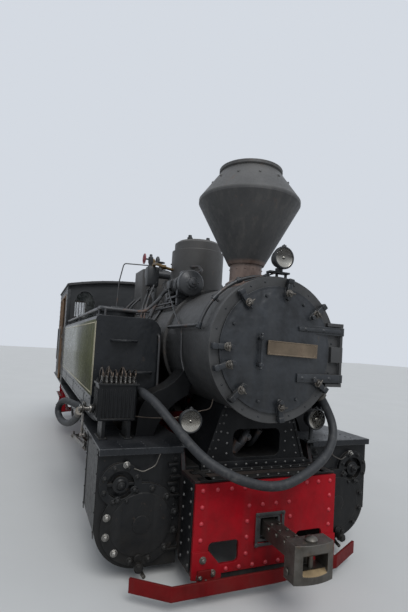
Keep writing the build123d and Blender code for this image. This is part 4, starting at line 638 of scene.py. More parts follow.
    def piece(self, name, material, slot="black_paint", body="root"):
        bmesh.ops.recalc_face_normals(self.mesh, faces=self.mesh.faces)
        data = bpy.data.meshes.new(name)
        self.mesh.to_mesh(data)
        self.mesh.free()
        for polygon in data.polygons:
            polygon.use_smooth = True
        data.set_sharp_from_angle(angle=math.radians(38))
        data.materials.append(material)
        item = link(bpy.data.objects.new(name, data))
        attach(item, body)


# The suction hose: from its union beside the smokebox, round the front, over the casing and past the
# lubricator, along under the right tank, out in a loop and back to its coupling
HOSE_DIAMETER = 0.062
HOSE_ROUTE_MM = (
    (3050, 494, 1215), (3052, 548, 1143), (3100, 583, 1005), (3190, 495, 888), (3262, 344, 799),
    (3318, 151, 731), (3345, -29, 690), (3345, -256, 730), (3300, -465, 826), (3180, -555, 908),
    (3020, -621, 1008), (2920, -687, 1096), (2860, -740, 1160), (2770, -775, 1190), (2640, -770, 1195),
    (2510, -772, 1170), (2440, -820, 1100), (2400, -930, 1010), (2330, -1012, 950), (2150, -1020, 935),
    (1850, -1020, 930), (1640, -1030, 928), (1530, -1085, 926), (1400, -1150, 942), (1270, -1200, 938),
    (1180, -1236, 870), (1180, -1236, 790), (1300, -1200, 735), (1520, -1160, 755), (1740, -1134, 825),
    (1900, -1128, 885), (2000, -1128, 930),
)
hose_curve = bpy.data.curves.new("suction_hose", "CURVE")
hose_curve.dimensions = "3D"
hose_curve.bevel_depth = HOSE_DIAMETER / 2
hose_curve.bevel_resolution = 6
hose_curve.resolution_u = 12
hose_curve.use_fill_caps = True
spline = hose_curve.splines.new("NURBS")
spline.points.add(len(HOSE_ROUTE_MM) - 1)
for point, place in zip(spline.points, HOSE_ROUTE_MM):
    point.co = (*[value / 1000 for value in place], 1)
spline.order_u = 3
spline.use_endpoint_u = True
hose = link(bpy.data.objects.new("suction_hose_dressed", hose_curve))
hose_curve.materials.append(rubber)
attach(hose, "root")
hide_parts("suction_hose")
[value / 1000 for value in HOSE_ROUTE_MM[0]]


# Buffer beams: rivets, corner bolts, a black angle under the front one that is painted shade filling the
# dark gap above the guard bar, and the pockets' rims and sleeves
BEAM_RIVET = 0.0145


def beam_details():
    rivets, bolts, foot, rim = Form(), Form(), Form(), Form()
    edge_y = BEAM_HALF - 0.049
    places = (
        ((-edge_y, -0.385, -0.287, -0.19, -0.095, 0, 0.095, 0.19, 0.287, 0.385, edge_y), 0.656),
        ((-edge_y, edge_y), (0.555, 0.455, 0.355)),
        ((-0.154, -0.054, 0.047, 0.149), 0.538),
        ((-0.163, 0.163), (0.44, 0.341, 0.237)),
        ((-0.3, -0.208, -0.111, -0.013, 0.083, 0.18, 0.28), 0.162),
    )
    for y, z in sum(map(grid, places), []):
        rivets.rivet((BEAM_X, y, z), AHEAD, BEAM_RIVET)
        rivets.rivet((REAR_BEAM_X, y, max(z, 0.28)), BACK, BEAM_RIVET)
    for _ in both_sides():
        rivets.rivet((REAR_BEAM_X, (0.62, 0.70, 0.78, 0.86), 0.656), BACK, BEAM_RIVET)
        rivets.rivet((REAR_BEAM_X, 0.86, (0.555, 0.455, 0.355, 0.28)), BACK, BEAM_RIVET)
        for face_x, out in ENDS:
            for y, z in ((0.466, 0.24), (0.483, 0.14), (0.398, 0.155)):
                bolts.nut((face_x + out[0] * 0.012, y, z), out, 0.017, 0.015)
            bolts.nut((face_x + out[0] * 0.062, 0.46, 0.126), UP, 0.013, 0.012)
    # The beam rivets carry the painted highlight
    rivets.piece("beam_rivets", highlit_rivet_red, "red_paint")
    bolts.piece("corner_bolts", worn_steel, "worn_steel")
    # Black angle under the front beam: a dark sheet standing in for the shade in the gap above the guard bar
    foot.slab((BEAM_X - 0.016, 0, 0.116), (0.012, 0.86, 0.068))
    foot.slab((BEAM_X - 0.061, 0, 0.088), (0.098, 0.86, 0.012))
    foot.piece("beam_gap_shade_plate", greasy_black)
    low, high, half, width = 0.297, 0.468, 0.087, 0.022
    sleeve_half, sleeve_low, sleeve_high = 0.066, 0.316, 0.449
    for face_x, out in ENDS:
        x0, x1 = face_x + (0.0135 if out == AHEAD else 0.0), face_x + out[0] * 0.0185
        back, face = face_x - out[0] * 0.030, face_x + out[0] * 0.008
        rim.box((x0, -half - width, high), (x1, half + width, high + width), 0.002)
        rim.box((x0, -half - width, low - width), (x1, half + width, low), 0.002)
        rim.box((back, -half, sleeve_high), (face, half, high), 0.004)
        rim.box((back, -half, low), (face, half, sleeve_low), 0.004)
        for _ in both_sides():
            rim.box((x0, half, low), (x1, half + width, high), 0.002)
            rim.box((back, sleeve_half, sleeve_low), (face, half, sleeve_high), 0.004)
            rim.bolt((x1, half + width / 2, (low - width / 2, high + width / 2)), out, 0.010, 0.008)
    rim.piece("pocket_rim", black)


# Deck, saddle and the riveted angles between frame and beam
def saddle_details():
    angle, rivets, edge, pipes = Form(), Form(), Form(), Form()
    front = 2.99
    angle.box((front, -0.50, 0.710), (front + 0.055, 0.50, 0.718), 0.002)
    angle.box((front, -0.42, 0.710), (front + 0.008, 0.42, 0.768), 0.002)
    angle.box((BEAM_X - 0.075, -0.50, 0.7095), (BEAM_X - 0.005, 0.50, 0.716), 0.002)
    rivets.rivet((front + 0.008, row(-0.40, 0.08, 11), 0.743), AHEAD, 0.0095)
    rivets.rivet((BEAM_X - 0.04, row(-0.40, 0.08, 11), 0.716), UP, 0.0095)
    rivets.rivet((front + 0.034, row(-0.37, 0.08, 11), 0.718), UP, 0.0085)
    for _ in both_sides():
        angle.box((2.9, 0.415, 0.7095), (BEAM_X - 0.01, 0.455, 0.716), 0.002)
        angle.box((front, FRAME_Y + 0.0005, 0.16), (3.175, FRAME_Y + 0.008, 0.69), 0.002)
        for t in row(0, 1 / 6, 7):
            rivets.rivet((front, 0.385 - 0.125 * t, 0.80 + 0.34 * t), AHEAD, 0.0095)
            rivets.rivet((front, 0.335 - 0.10 * t, 0.80 + 0.34 * t), AHEAD, 0.0085)
        rivets.rivet(((3.15, 3.02), FRAME_Y + 0.008, row(0.655, -0.077, 7)), OUT, 0.0105)
        rivets.rivet((front, 0.235, (0.82, 0.89, 0.96)), AHEAD, 0.0085)
        corners = (0.418, 0.72), (0.398, 0.72), (0.262, 1.13), (0.282, 1.13)
        edge.plate([(front, *corner) for corner in corners], AHEAD, 0.006)
    angle.piece("front_angles", saddle_black)
    rivets.piece("saddle_rivets", dim_steel, "worn_steel")
    edge.piece("saddle_edges", saddle_black)
    way = (2.64, -0.10, 0.80), (2.86, -0.09, 0.82), (2.90, -0.03, 0.93), (2.70, 0.02, 0.97)
    pipes.pipe(way, 0.030, 14, 0.06)
    pipes.pipe([(2.66, 0.06, 0.80), (2.80, 0.06, 0.83), (2.86, 0.10, 0.95)], 0.022, 12, 0.05)
    pipes.rod((2.84, -0.12, 0.80), (2.86, -0.08, 0.87), 0.045, 16)
    pipes.bolt((2.90, -0.02, 0.905), AHEAD, 0.018, 0.016)
    pipes.piece("saddle_pipes", rail_steel, "worn_steel")


# Cylinder fronts: cover nuts, a few in bright steel as painted glints, valve covers, ribs' bolts, drain
# cocks and a thin pipe
# Cover nuts on the right front given bright steel: painted glints where light catches them
GLINT_COVER_NUTS = (5, 6, 7)


def cylinder_details():
    dark, glint_nuts, pipes = Form(), Form(), Form()
    for side in both_sides():
        for face_x, out in ((CYLINDER_FRONT_X, AHEAD), (CYLINDER_REAR_X, BACK)):
            for index, (dy, dz) in enumerate(ring(12, 0.232, 15)):
                lit = out == AHEAD and side == "right" and index in GLINT_COVER_NUTS
                place = face_x, CYLINDER_Y - dy, AXLE_Z + dz
                (glint_nuts if lit else dark).nut(place, out, 0.018, 0.017, 0.008)
            for dy, dz in ring(8, 0.113, 22.5):
                dark.nut((face_x, VALVE_Y - dy, VALVE_Z + dz), out, 0.013, 0.013, 0.006)
        # The boss in the valve cover's recess, with its lubricating cup and nut
        boss = (-0.03, 0), (-0.03, 0.044), (0.0, 0.040), (0.010, 0.026), (0.022, 0.024), (0.024, 0)
        dark.turned((CYLINDER_FRONT_X - 0.004, VALVE_Y, VALVE_Z), AHEAD, boss, 24)
        dark.nut((CYLINDER_FRONT_X + 0.02, VALVE_Y, VALVE_Z), AHEAD, 0.014, 0.012)
        # A bright nut on the valve chest: a painted glint
        glint_nuts.nut((CYLINDER_FRONT_X, VALVE_Y - 0.03, VALVE_Z + 0.125), AHEAD, 0.017, 0.016)
        dark.nut((2.900, 0.575, (0.30, 0.39, 0.48, 0.57, 0.70, 0.78)), AHEAD, 0.017, 0.016)
        dark.slab((2.893, 0.585, (0.345, 0.435, 0.525, 0.615, 0.740)), (0.050, 0.074, 0.022), 0.006)
        # A small plate in the middle of the cover, and the indicator plug
        disc = (0, 0.060), (0.006, 0.058), (0.007, 0)
        dark.turned((CYLINDER_FRONT_X + 0.008, CYLINDER_Y, AXLE_Z), AHEAD, disc)
        dark.rod((2.88, 0.80, 0.165), (2.945, 0.80, 0.165), 0.026, 18)
        # Drain cocks' pipes with their rod, and a thin oil pipe
        pipes.pipe([(2.86, 0.80, 0.14), (2.86, 0.80, 0.10), (2.93, 0.78, 0.085), (3.0, 0.77, 0.075)], 0.013)
        pipes.pipe([(2.45, 0.80, 0.14), (2.45, 0.80, 0.10), (2.38, 0.78, 0.085)], 0.013)
        pipes.pipe([(2.44, 0.80, 0.118), (2.87, 0.80, 0.118)], 0.008, 8)
        oil_way = (2.93, 0.86, 0.735), (2.945, 0.80, 0.715), (2.94, 0.72, 0.75), (2.93, 0.68, 0.845)
        pipes.pipe(oil_way, 0.0045, 8, 0.02)
        # Casing straps and screws along the outer side
        strap_xs = (2.37, 2.88)
        dark.slab((strap_xs, HALF_WIDTH, 0.57), (0.03, 0.004, 0.54), 0.001)
        dark.rivet((strap_xs, HALF_WIDTH + 0.002, row(0.34, 0.12, 5)), OUT, 0.007)
    dark.piece("cylinder_bolts", greasy_black)
    glint_nuts.piece("glinting_nuts", glint_nut_steel, "worn_steel")
    pipes.piece("drain_pipes", worn_steel, "worn_steel")


# Smokebox front: studs, pins on the door, straps' rivets, the blank plate
def door_x(radius):
    """The dished door's surface at a distance from its middle."""
    return 3.1953 + max(0.0, 0.036 + 0.0105 * radius - 0.2397 * radius**2)


def strap_x(y, z):
    return max(door_x(math.hypot(y, z - BOILER_Z)), 3.2085)


def smokebox_details():
    studs, pins, nuts, plate = Form(), Form(), Form(), Form()
    for angle in (8, 24, 58, 75, 104, 118, 148, 166, 196, 212, 240, 256, 286, 304, 318, 342):
        studs.rivet((SMOKEBOX_FRONT_X, *barrel(0.462, angle)), AHEAD, 0.0075)
    seam_xs = (SMOKEBOX_FRONT_X - 0.06, SMOKEBOX_FRONT_X - 0.93)
    for angle in row(-60, 300 / 43, 44):
        studs.rivet((seam_xs, *barrel(SMOKEBOX_RADIUS, angle)), (0, *polar(1, angle)), 0.008)
    studs.piece("smokebox_rivets", satin_black)
    for angle in (156, 107, 59, -64, -111):
        pins.bolt((door_x(0.37), *barrel(0.37, angle)), AHEAD, 0.011, 0.012, False)
    # Hinge straps that follow the dished door: a thin one above, a heavy one with three rivets below
    for z, half, bolts in ((1.705, 0.017, (0.20, 0.36)), (1.37, 0.032, (0.19, 0.30, 0.42))):
        section = (0.010, half - 0.003), (0.013, half - 0.008)
        section = (-0.004, -half), *[(x, -dz) for x, dz in section], *section[::-1], (-0.004, half)
        ys = row(0.145, 0.365 / 12, 13)
        pins.loft([[(strap_x(y, z) + dx, y, z + dz) for dx, dz in section] for y in ys])
        for y in bolts:
            pins.rivet((strap_x(y, z) + 0.0125, y, z), AHEAD, 0.013)
    # Shoes, foot blocks and nuts of the rim clamps
    for angle in (180, -163, -135, -85, -34, 42, 82, 130):
        turned = Matrix.Translation((0, 0, BOILER_Z)) @ Matrix.Rotation(math.radians(angle), 4, "X")
        pins.block(turned @ Matrix.Translation((3.221, 0.405, 0)), (0.018, 0.120, 0.036), 0.005)
        pins.block(turned @ Matrix.Translation((3.214, 0.470, 0)), (0.046, 0.034, 0.042), 0.006)
        nuts.nut(turned @ Vector((3.230, 0.385, 0)), AHEAD, 0.020, 0.018, 0.016)
        nuts.rod(turned @ Vector((3.258, 0.385, 0.030)), turned @ Vector((3.258, 0.385, -0.030)), 0.0055, 8)
    nuts.piece("clamp_nuts", worn_steel, "worn_steel", "smokebox_door")
    spindle = (
        (0, 0.024), (0.008, 0.024), (0.012, 0.016), (0.055, 0.014), (0.066, 0.018), (0.078, 0.012),
        (0.080, 0),
    )
    pins.turned((3.195, -0.157, (1.449, 1.623)), AHEAD, spindle, 20)
    knob = (-0.010, 0), (-0.008, 0.009), (0, 0.012), (0.008, 0.009), (0.010, 0)
    pins.turned((3.261, -0.157, (1.426, 1.646)), UP, knob, 14)
    pins.turned((3.231, 0, BOILER_Z), AHEAD, ((-0.002, 0.03), (0.003, 0.03), (0.006, 0.02), (0.007, 0)), 24)
    pins.piece("door_bolts", satin_black, body="smokebox_door")
    # The blank plate: its sheet, raised edges, screws and feet
    half_width, half_height = 0.196, 0.047
    lie = Matrix.Translation((3.2375, 0.0925, 1.5595)) @ Matrix.Rotation(math.radians(-1.6), 4, "X")

    def on_plate(y, z, rise=0.0):
        return lie @ Vector((rise, y * half_width, z * half_height))

    def sheet(y0, y1, z0, z1, rise, thickness):
        corners = (y0, z0), (y1, z0), (y1, z1), (y0, z1)
        plate.plate([on_plate(*corner, rise) for corner in corners], AHEAD, thickness)

    sheet(-1, 1, -1, 1, 0, 0.008)
    for edges in ((-1, 1, 0.86, 1), (-1, 1, -1, -0.86), (-1, -0.965, -0.86, 0.86), (0.965, 1, -0.86, 0.86)):
        sheet(*edges, 0.008, 0.003)
    for y, z in product((-0.93, 0.93), (-0.7, 0.7)):
        plate.rivet(on_plate(y, z, 0.008), AHEAD, 0.005)
    for y in (-0.15, 0.0, 0.15):
        foot = on_plate(y / half_width, 0)
        door = door_x(math.hypot(foot.y, foot.z - BOILER_Z))
        plate.rod((door - 0.002, foot.y, foot.z), foot + Vector((0.004, 0, 0)), 0.012, 12)
    plate.piece("blank_plate", plate_brass, body="smokebox_door")


# Boiler: bands' bolts, handrail clamps, clack valves
def boiler_details():
    bands, clamps, valves = Form(), Form(), Form()
    band_xs = (2.19, 1.25, 0.35, -0.5)
    for angle in (58, 122):
        y, z = barrel(BOILER_RADIUS + 0.004, angle)
        bands.slab((band_xs, y, z + 0.005), (0.04, 0.024, 0.034), 0.002)
        bands.bolt((band_xs, y, z + 0.022), UP, 0.009, 0.01)
    bands.piece("band_bolts", boiler_paint)
    for angle in row(15, 25, 7):
        place = Vector((3.001, *barrel(SMOKEBOX_RADIUS + 0.036, angle)))
        out, along = Vector((0, *polar(1, angle))), Vector((0, *polar(1, angle + 90)))
        clamps.rod(place - along * 0.022, place + along * 0.022, 0.019, 14)
        clamps.bolt(place + out * 0.014, out, 0.010, 0.012, False)
    clamps.piece("rail_clamps", satin_black)
    flange = (0.004, 0), (0.004, 0.075), (0.018, 0.075), (0.02, 0.045), (0.06, 0.04)
    cap = (0.075, 0.05), (0.10, 0.05), (0.115, 0.03), (0.13, 0)
    for _ in both_sides():
        base, out = Vector((1.98, *barrel(BOILER_RADIUS, 52))), Vector((0, *polar(1, 52)))
        valves.turned(base, out, (*flange, *cap), 28)
        for place in valves.around(base + out * 0.018, out, 6, 0.061):
            valves.bolt(place, out, 0.009, 0.01, False)
    valves.piece("clack_valves", greasy_black)


# Lamps: rolled rims, dulled mirrors, lenses
LAMPS = (
    (AHEAD, 3.209, 0.006, 2.176, 0.072), (AHEAD, 2.982, -0.51, 1.043, 0.076),
    (AHEAD, 2.982, 0.51, 1.043, 0.076),
    (BACK, -3.31, -0.62, 1.5, 0.076), (BACK, -3.31, 0.62, 1.5, 0.076),
)


def lamp_details():
    rims, dishes, lenses = Form(), Form(), Form()
    for out, x, y, z, radius in LAMPS:
        rims.turned((x, y, z), out, (
            (-0.016, radius + 0.0005), (-0.012, radius + 0.005), (0.006, radius + 0.006),
            (0.013, radius + 0.002),
            (0.014, radius - 0.003), (0.010, radius - 0.007), (0.0005, radius - 0.007),
        ), 40)
        rims.slab((x - 0.001, y, z + radius + 0.007), (0.022, 0.024, 0.014), 0.002)
        rims.bolt((x - 0.001, y, z + radius + 0.014), UP, 0.006, 0.006, False)
        dishes.turned((x, y, z), out, (
            (0.0085, radius - 0.007), (0.0035, radius * 0.7), (0.0012, radius * 0.35),
            (0.0008, radius * 0.16),
            (0.006, radius * 0.13), (0.009, radius * 0.06), (0.0095, 0),
        ), 40)
        lenses.turned((x, y, z), out, (
            (0.0105, radius - 0.0065), (0.015, radius * 0.8), (0.0195, radius * 0.5), (0.0215, radius * 0.2),
            (0.022, 0),
        ), 40)
    rims.piece("lamp_rims", black, "lamp_enamel")
    dishes.piece("lamp_mirrors", mirror, "lamp_enamel")
    lenses.piece("lamp_lenses", lamp_glass, "lamp_enamel")


# Side tanks: glossy side panels tinted olive as a painted reflection of green surroundings, a cream line,
# rails across the front, filler and lid fittings
LID_X, LID_Y = 1.8, 0.84


def tank_details():
    panels, lines, rails, fittings = Form(), Form(), Form(), Form()
    inset, width, panel_y = 0.022, 0.009, HALF_WIDTH + 0.002
    x0, x1, z0, z1 = CAB_FRONT_X + 0.03, TANK_FRONT_X - inset, TANK_BOTTOM_Z + inset, TANK_TOP_Z - 0.055
    line_edges = (
        (x0, z1 - width, x1, z1), (x0, z0, x1, z0 + width), (x1 - width, z0, x1, z1),
        (x0, z0, x0 + width, z1),
    )
    for _ in both_sides():
        low, high = (CAB_FRONT_X + 0.004, TANK_BOTTOM_Z + 0.003), (TANK_FRONT_X - 0.004, TANK_TOP_Z - 0.034)
        # A thin panel over the tank's side that carries the painted olive reflection
        panels.box((low[0], HALF_WIDTH, low[1]), (high[0], panel_y, high[1]), 0.001)
        for low_x, low_z, high_x, high_z in line_edges:
            lines.box((low_x, panel_y, low_z), (high_x, panel_y + 0.0015, high_z), 0.0003)
        # A cream strip on the tank's front corner edge: a painted highlight
        foot = TANK_FRONT_X - 0.003, HALF_WIDTH - 0.002, TANK_BOTTOM_Z + 0.01
        lines.box(foot, (TANK_FRONT_X + 0.0015, HALF_WIDTH + 0.002, TANK_TOP_Z - 0.05), 0.0005)
        # Rail from the side rail's end across the tank's front and up to the boiler
        rails.pipe([
            (2.28, 1.05, 1.80), (2.345, 1.05, 1.80), (2.352, 0.98, 1.795), (2.35, 0.72, 1.79),
            (2.30, 0.62, 1.875), (2.24, 0.555, 1.935),
        ], 0.0135, 12, 0.04)
        rails.rod((2.351, (1.02, 0.74), 1.735), (2.351, (1.02, 0.74), 1.79), 0.009, 12)
        posts = (-0.70, 0.757, 2.244)
        ball = (-0.02, 0), (-0.017, 0.012), (0, 0.020), (0.017, 0.012), (0.02, 0)
        rails.turned((posts, 1.05, 1.80), UP, ball, 16)
        foot = (0, 0.022), (0.006, 0.022), (0.010, 0.012), (0.018, 0.010)
        rails.turned((posts, 1.05, TANK_TOP_Z), UP, foot, 16)
        # Rows of countersunk screws on the front
        fittings.rivet((TANK_FRONT_X, (0.60, 1.065), (1.19, 1.32, 1.45, 1.58, 1.70)), AHEAD, 0.0055)
        fittings.rivet((TANK_FRONT_X, (0.70, 0.83, 0.96), 1.14), AHEAD, 0.0055)
        # Filler: hinge strap's bolt, and the bolts round the lid
        fittings.bolt((1.88, LID_Y, 1.816), UP, 0.009, 0.008)
        for dx, dy in ring(10, 0.188):
            fittings.bolt((LID_X + dx, LID_Y + dy, TANK_TOP_Z), UP, 0.008, 0.008, False)
        # Lifting eyes, and the level pipe on the tank's inner front corner
        eye = (0, 0.035), (0.008, 0.035), (0.010, 0.016), (0.03, 0.014), (0.034, 0)
        fittings.turned(((0.1, 1.3), 0.83, TANK_TOP_Z), UP, eye, 20)
        level_way = (2.355, 0.595, 1.62), (2.392, 0.593, 1.61), (2.395, 0.588, 1.55), (2.395, 0.585, 0.868)
        rails.pipe(level_way, 0.010, 10, 0.04)
    panels.piece("tank_side_reflection_panels", tank_painted_reflection)
    lines.piece("tank_lines", cream)
    rails.piece("tank_rails", rail_steel, "worn_steel")
    fittings.piece("tank_fittings", tank_paint)


# Mechanical lubricator: ribbed box, curled pipes, ratchet and the pipes that lead away
LUB_X, LUB_Y, LUB_LOW, LUB_TOP = 2.6, -0.945, 0.997, 1.253


def lubricator_details():
    body, pipes, steel = Form(), Form(), Form()
    front, side, rib_z, rib_height = LUB_X + 0.100, LUB_Y - 0.135, (LUB_LOW + LUB_TOP - 0.02) / 2, 0.196
    body.slab((front + 0.003, row(LUB_Y - 0.112, 0.028, 9), rib_z), (0.010, 0.009, rib_height), 0.002)
    body.slab((row(LUB_X - 0.075, 0.03, 6), side - 0.0025, rib_z), (0.009, 0.009, rib_height), 0.002)
    body.slab((front + 0.004, LUB_Y, LUB_LOW + 0.011), (0.012, 0.24, 0.014), 0.002)
    body.nut((pairs(LUB_X, 0.085), pairs(LUB_Y, 0.12), LUB_TOP), UP, 0.011, 0.010)
    body.bolt((pairs(LUB_X, 0.075), pairs(LUB_Y + 0.02, 0.088), PLATE_Z), UP, 0.012, 0.012)
    body.slab((LUB_X, pairs(LUB_Y, 0.088), PLATE_Z + 0.00525), (0.19, 0.06, 0.0095), 0.002)
    filler = (0, 0.03), (0.012, 0.03), (0.014, 0.012), (0.03, 0.012), (0.032, 0)
    body.turned((LUB_X, LUB_Y - 0.03, LUB_TOP), UP, filler, 20)
    body.piece("lubricator_ribs", greasy_black)
    union = (
        (0, 0.010), (0.012, 0.010), (0.014, 0.007), (0.034, 0.007), (0.036, 0.009), (0.046, 0.009),
        (0.048, 0),
    )
    for index, y in enumerate(row(LUB_Y - 0.112, 0.032, 8)):
        steel.turned((LUB_X + 0.07, y, LUB_TOP), UP, union, 6)
        steel.turned((LUB_X - 0.01, y + 0.008, LUB_TOP), UP, union, 6)
        lean, top = 0.018 * math.sin(index * 2.1), 0.105 + 0.012 * math.sin(index * 1.7)
        way = (
            (0.07, y, 0.03), (0.072, y + lean * 0.4, top - 0.03), (0.03, y + lean, top),
            (-0.03, y + lean, top - 0.012), (-0.075, y + lean * 0.5, 0.05), (-0.10, y * 0.98, -0.01),
            (-0.125, y * 0.97, -0.16), (-0.15, -0.90 + 0.012 * index, PLATE_Z - LUB_TOP + 0.05),
            (-0.17, -0.86 + 0.012 * index, PLATE_Z - LUB_TOP + 0.012),
        )
        pipes.pipe([(LUB_X + x, y, LUB_TOP + z) for x, y, z in way], 0.0048, 8, 0.035)
        way = (-0.01, 0.008, 0.03), (-0.012, 0.008, 0.062), (0.02, 0.014, 0.075), (0.035, 0.012, 0.03)
        pipes.pipe([(LUB_X + dx, y + dy, LUB_TOP + dz) for dx, dy, dz in way], 0.004, 8, 0.02)
    # Two pipes lead on, across to the lamp and the saddle
    way = (2.71, -0.82, 1.03), (2.80, -0.74, 1.035), (2.90, -0.60, 1.05), (2.90, -0.56, 1.04)
    pipes.pipe(way, 0.0038, 8, 0.04)
    way = (2.90, -0.60, 1.05), (2.92, -0.42, 1.10), (2.96, -0.36, 1.12), (2.96, -0.345, 1.19)
    pipes.pipe(way, 0.0038, 8, 0.03)
    pipes.piece("oil_pipes", copper, "worn_steel")
    # Ratchet wheel, its drive rod back to the valve gear, and the hand crank
    shaft_z, lever_z = 1.068, 0.888
    ratchet = (0, 0), (0, 0.036), (0.006, 0.036), (0.006, 0.030), (0.012, 0.030), (0.012, 0)
    steel.turned((LUB_X, -1.172, shaft_z), OUT, ratchet, 24)
    steel.rod((LUB_X, -1.1, shaft_z), (LUB_X, -1.198, shaft_z), 0.017, 18)
    steel.rod((LUB_X, (-1.19, -1.126), shaft_z), (LUB_X, (-1.174, -1.11), shaft_z), 0.031, 20)
    steel.box((LUB_X - 0.011, -1.172, 0.878), (LUB_X + 0.011, -1.158, shaft_z), 0.003)
    steel.rod((LUB_X, -1.176, lever_z), (LUB_X, -1.148, lever_z), 0.012, 14)
    way = (LUB_X - 0.12, -1.155, 0.875), (2.30, -1.118, 0.80), (2.24, -1.03, 0.72), (2.235, -0.975, 0.70)
    steel.pipe([(LUB_X, -1.160, lever_z), *way], 0.0085, 10, 0.05)
    crank_x = LUB_X + 0.02
    steel.pipe([(LUB_X, -1.150, shaft_z), (crank_x, -1.155, 1.11), (crank_x, -1.172, 1.115)], 0.007, 8, 0.01)
    steel.piece("lubricator_drive", motion, "worn_steel")


# Generator: cooling fins, bands, flange bolts and the nose cap on the turbine's cone
GENERATOR = Vector((1.85, -0.305, 2.081))


def by_generator(dx, dy=0.0, dz=0.0):
    return GENERATOR + Vector((dx, dy, dz))


def generator_details():
    fins, at = Form(), by_generator
    hoop = (0, 0.083), (0, 0.0905), (0.007, 0.0905), (0.007, 0.083)
    for dx in row(0.03, 0.019, 8):
        fins.turned(at(dx), AHEAD, hoop, 40)
    for dx, reach, count, radius, height in (
        (0.426, 0.099, 10, 0.0075, 0.008), (0.235, 0.087, 10, 0.006, 0.007), (0.462, 0.052, 6, 0.006, 0.006),
    ):
        for place in ring(count, reach):
            fins.bolt(at(dx, *place), AHEAD, radius, height, False)
    for dx in (0.05, 0.25):
        fins.turned(at(dx), AHEAD, ((0, 0.084), (0, 0.093), (0.022, 0.093), (0.022, 0.084)), 40)
    fins.box(at(0.25, -0.055, 0.075), at(0.36, 0.055, 0.115), 0.008)
    fins.box(at(0.06, -0.11, -0.03), at(0.16, -0.082, 0.045), 0.005)
    nose = (
        (0, 0.062), (0.008, 0.060), (0.013, 0.044), (0.030, 0.038), (0.034, 0.020), (0.046, 0.018),
        (0.048, 0),
    )
    fins.turned(at(0.452), AHEAD, nose, 36)
    fins.piece("generator_fins", fitting_black)


def generator_pipes(pipes):
    """Its steam and exhaust pipes, and the wires to the lamp."""
    at = by_generator
    way = at(0.30, 0.05, 0.09), (2.15, -0.16, 2.22), (1.95, -0.12, 2.30), (1.62, -0.18, 2.33)
    pipes.pipe(way, 0.014, 10, 0.05)
    way = at(0.02), at(-0.12), at(-0.16, -0.06, -0.02), (1.67, -0.43, 1.95), (1.67, -0.485, 1.80)
    pipes.pipe(way, 0.018, 12, 0.06)
    way = (2.30, -0.44, 1.80), (2.62, -0.487, 1.66), (2.66, -0.492, 1.45), (2.70, -0.478, 1.36)
    pipes.pipe([at(0.12, -0.10, -0.02), (2.01, -0.42, 2.02), *way], 0.006, 8, 0.06)
    way = (3.05, -0.20, 2.012), (3.12, -0.06, 2.060), (3.15, 0.0, 2.085), (3.158, 0.006, 2.115)
    pipes.pipe(way, 0.005, 8, 0.03)


# Valve turret, whistle and the pipes along the boiler's right shoulder
TURRET_X = 0.83


def boiler_pipes():
    pipes = Form()
    generator_pipes(pipes)
    # From the turret along and down the barrel, on both sides
    for index, (y, z) in enumerate(((-0.20, 2.31), (-0.28, 2.33), (-0.10, 2.30))):
        down_x, (down_y, down_z) = 0.95 + 0.28 * index, barrel(BOILER_RADIUS + 0.03, 150 - 9 * index)
        pipes.pipe([
            (TURRET_X, y, z), (TURRET_X + 0.10, y - 0.06, z - 0.06), (down_x, down_y * 0.80, down_z + 0.10),
            (down_x + 0.25, down_y, down_z), (down_x + 0.27, -0.545, 1.66),
        ], 0.013, 10, 0.06)
    for x in (1.36, 1.50):
        way = (x, -0.42, 2.14), (x + 0.02, -0.47, 2.02), (x + 0.12, -0.525, 1.88), (x + 0.14, -0.545, 1.66)
        pipes.pipe(way, 0.010, 10, 0.05)
    way = (0.80, 0.30, 2.28), (0.70, 0.48, 2.0), (0.60, 0.535, 1.85), (0.60, 0.545, 1.66)
    pipes.pipe([(TURRET_X, 0.20, 2.35), *way], 0.014, 10, 0.06)
    way = (1.50, 0.29, 2.28), (1.42, 0.42, 2.15), (1.30, 0.52, 1.90), (1.28, 0.545, 1.66)
    pipes.pipe(way, 0.011, 10, 0.06)
    # Long conduits along the barrel to the cab
    conduit_y, conduit_z = barrel(BOILER_RADIUS + 0.026, 38)
    for _ in both_sides():
        for offset, radius in ((0, 0.012), (0.035, 0.009)):
            y, z = conduit_y + offset * 0.3, conduit_z + offset
            pipes.pipe([(2.18, y, z), (-0.86, y, z)], radius, 10)
    # Whistle pipe: out from the turret and down
    way = (0.56, -0.545, 2.500), (0.55, -0.562, 2.48), (0.54, -0.60, 2.28), (0.54, -0.62, 1.76)
    pipes.pipe([(0.60, -0.20, 2.508), *way], 0.007, 8, 0.015)
    pipes.piece("boiler_pipes", rail_steel, "worn_steel")


def turret_details():
    brassy = Form()
    way = (
        (1.43, -0.42, 2.325), (1.45, -0.42, 2.365), (1.56, -0.41, 2.345), (1.60, -0.36, 2.315),
        (1.60, -0.262, 2.298),
    )
    brassy.pipe(way, 0.015, 12, 0.03)
    nut = (-0.02, 0.017), (-0.02, 0.026), (0.02, 0.026), (0.02, 0.017)
    brassy.turned((1.60, -0.36, 2.315), OUT, nut, 6)
    way = (TURRET_X, -0.26, 2.42), (1.0, -0.31, 2.415), (1.20, -0.35, 2.36), (1.39, -0.40, 2.315)
    brassy.pipe(way, 0.016, 12, 0.05)
    union = (0, 0.022), (0.012, 0.022), (0.014, 0.010), (0.03, 0.010), (0.032, 0)
    brassy.turned((TURRET_X, (-0.300, -0.175, 0.0, 0.15), 2.48), UP, union, 12)
    whistle = (-0.09, 0.012), (-0.02, 0.012), (-0.018, 0.024), (0.0, 0.026)
    bell = (0.075, 0.026), (0.082, 0.012), (0.095, 0.008), (0.096, 0)
    brassy.turned((0.60, -0.20, 2.50), UP, (*whistle, *bell), 20)
    way = (TURRET_X, -0.14, 2.39), (0.72, -0.17, 2.39), (0.60, -0.20, 2.40), (0.60, -0.20, 2.44)
    brassy.pipe(way, 0.012, 10, 0.03)
    brassy.piece("turret_brass", brass, "worn_steel")


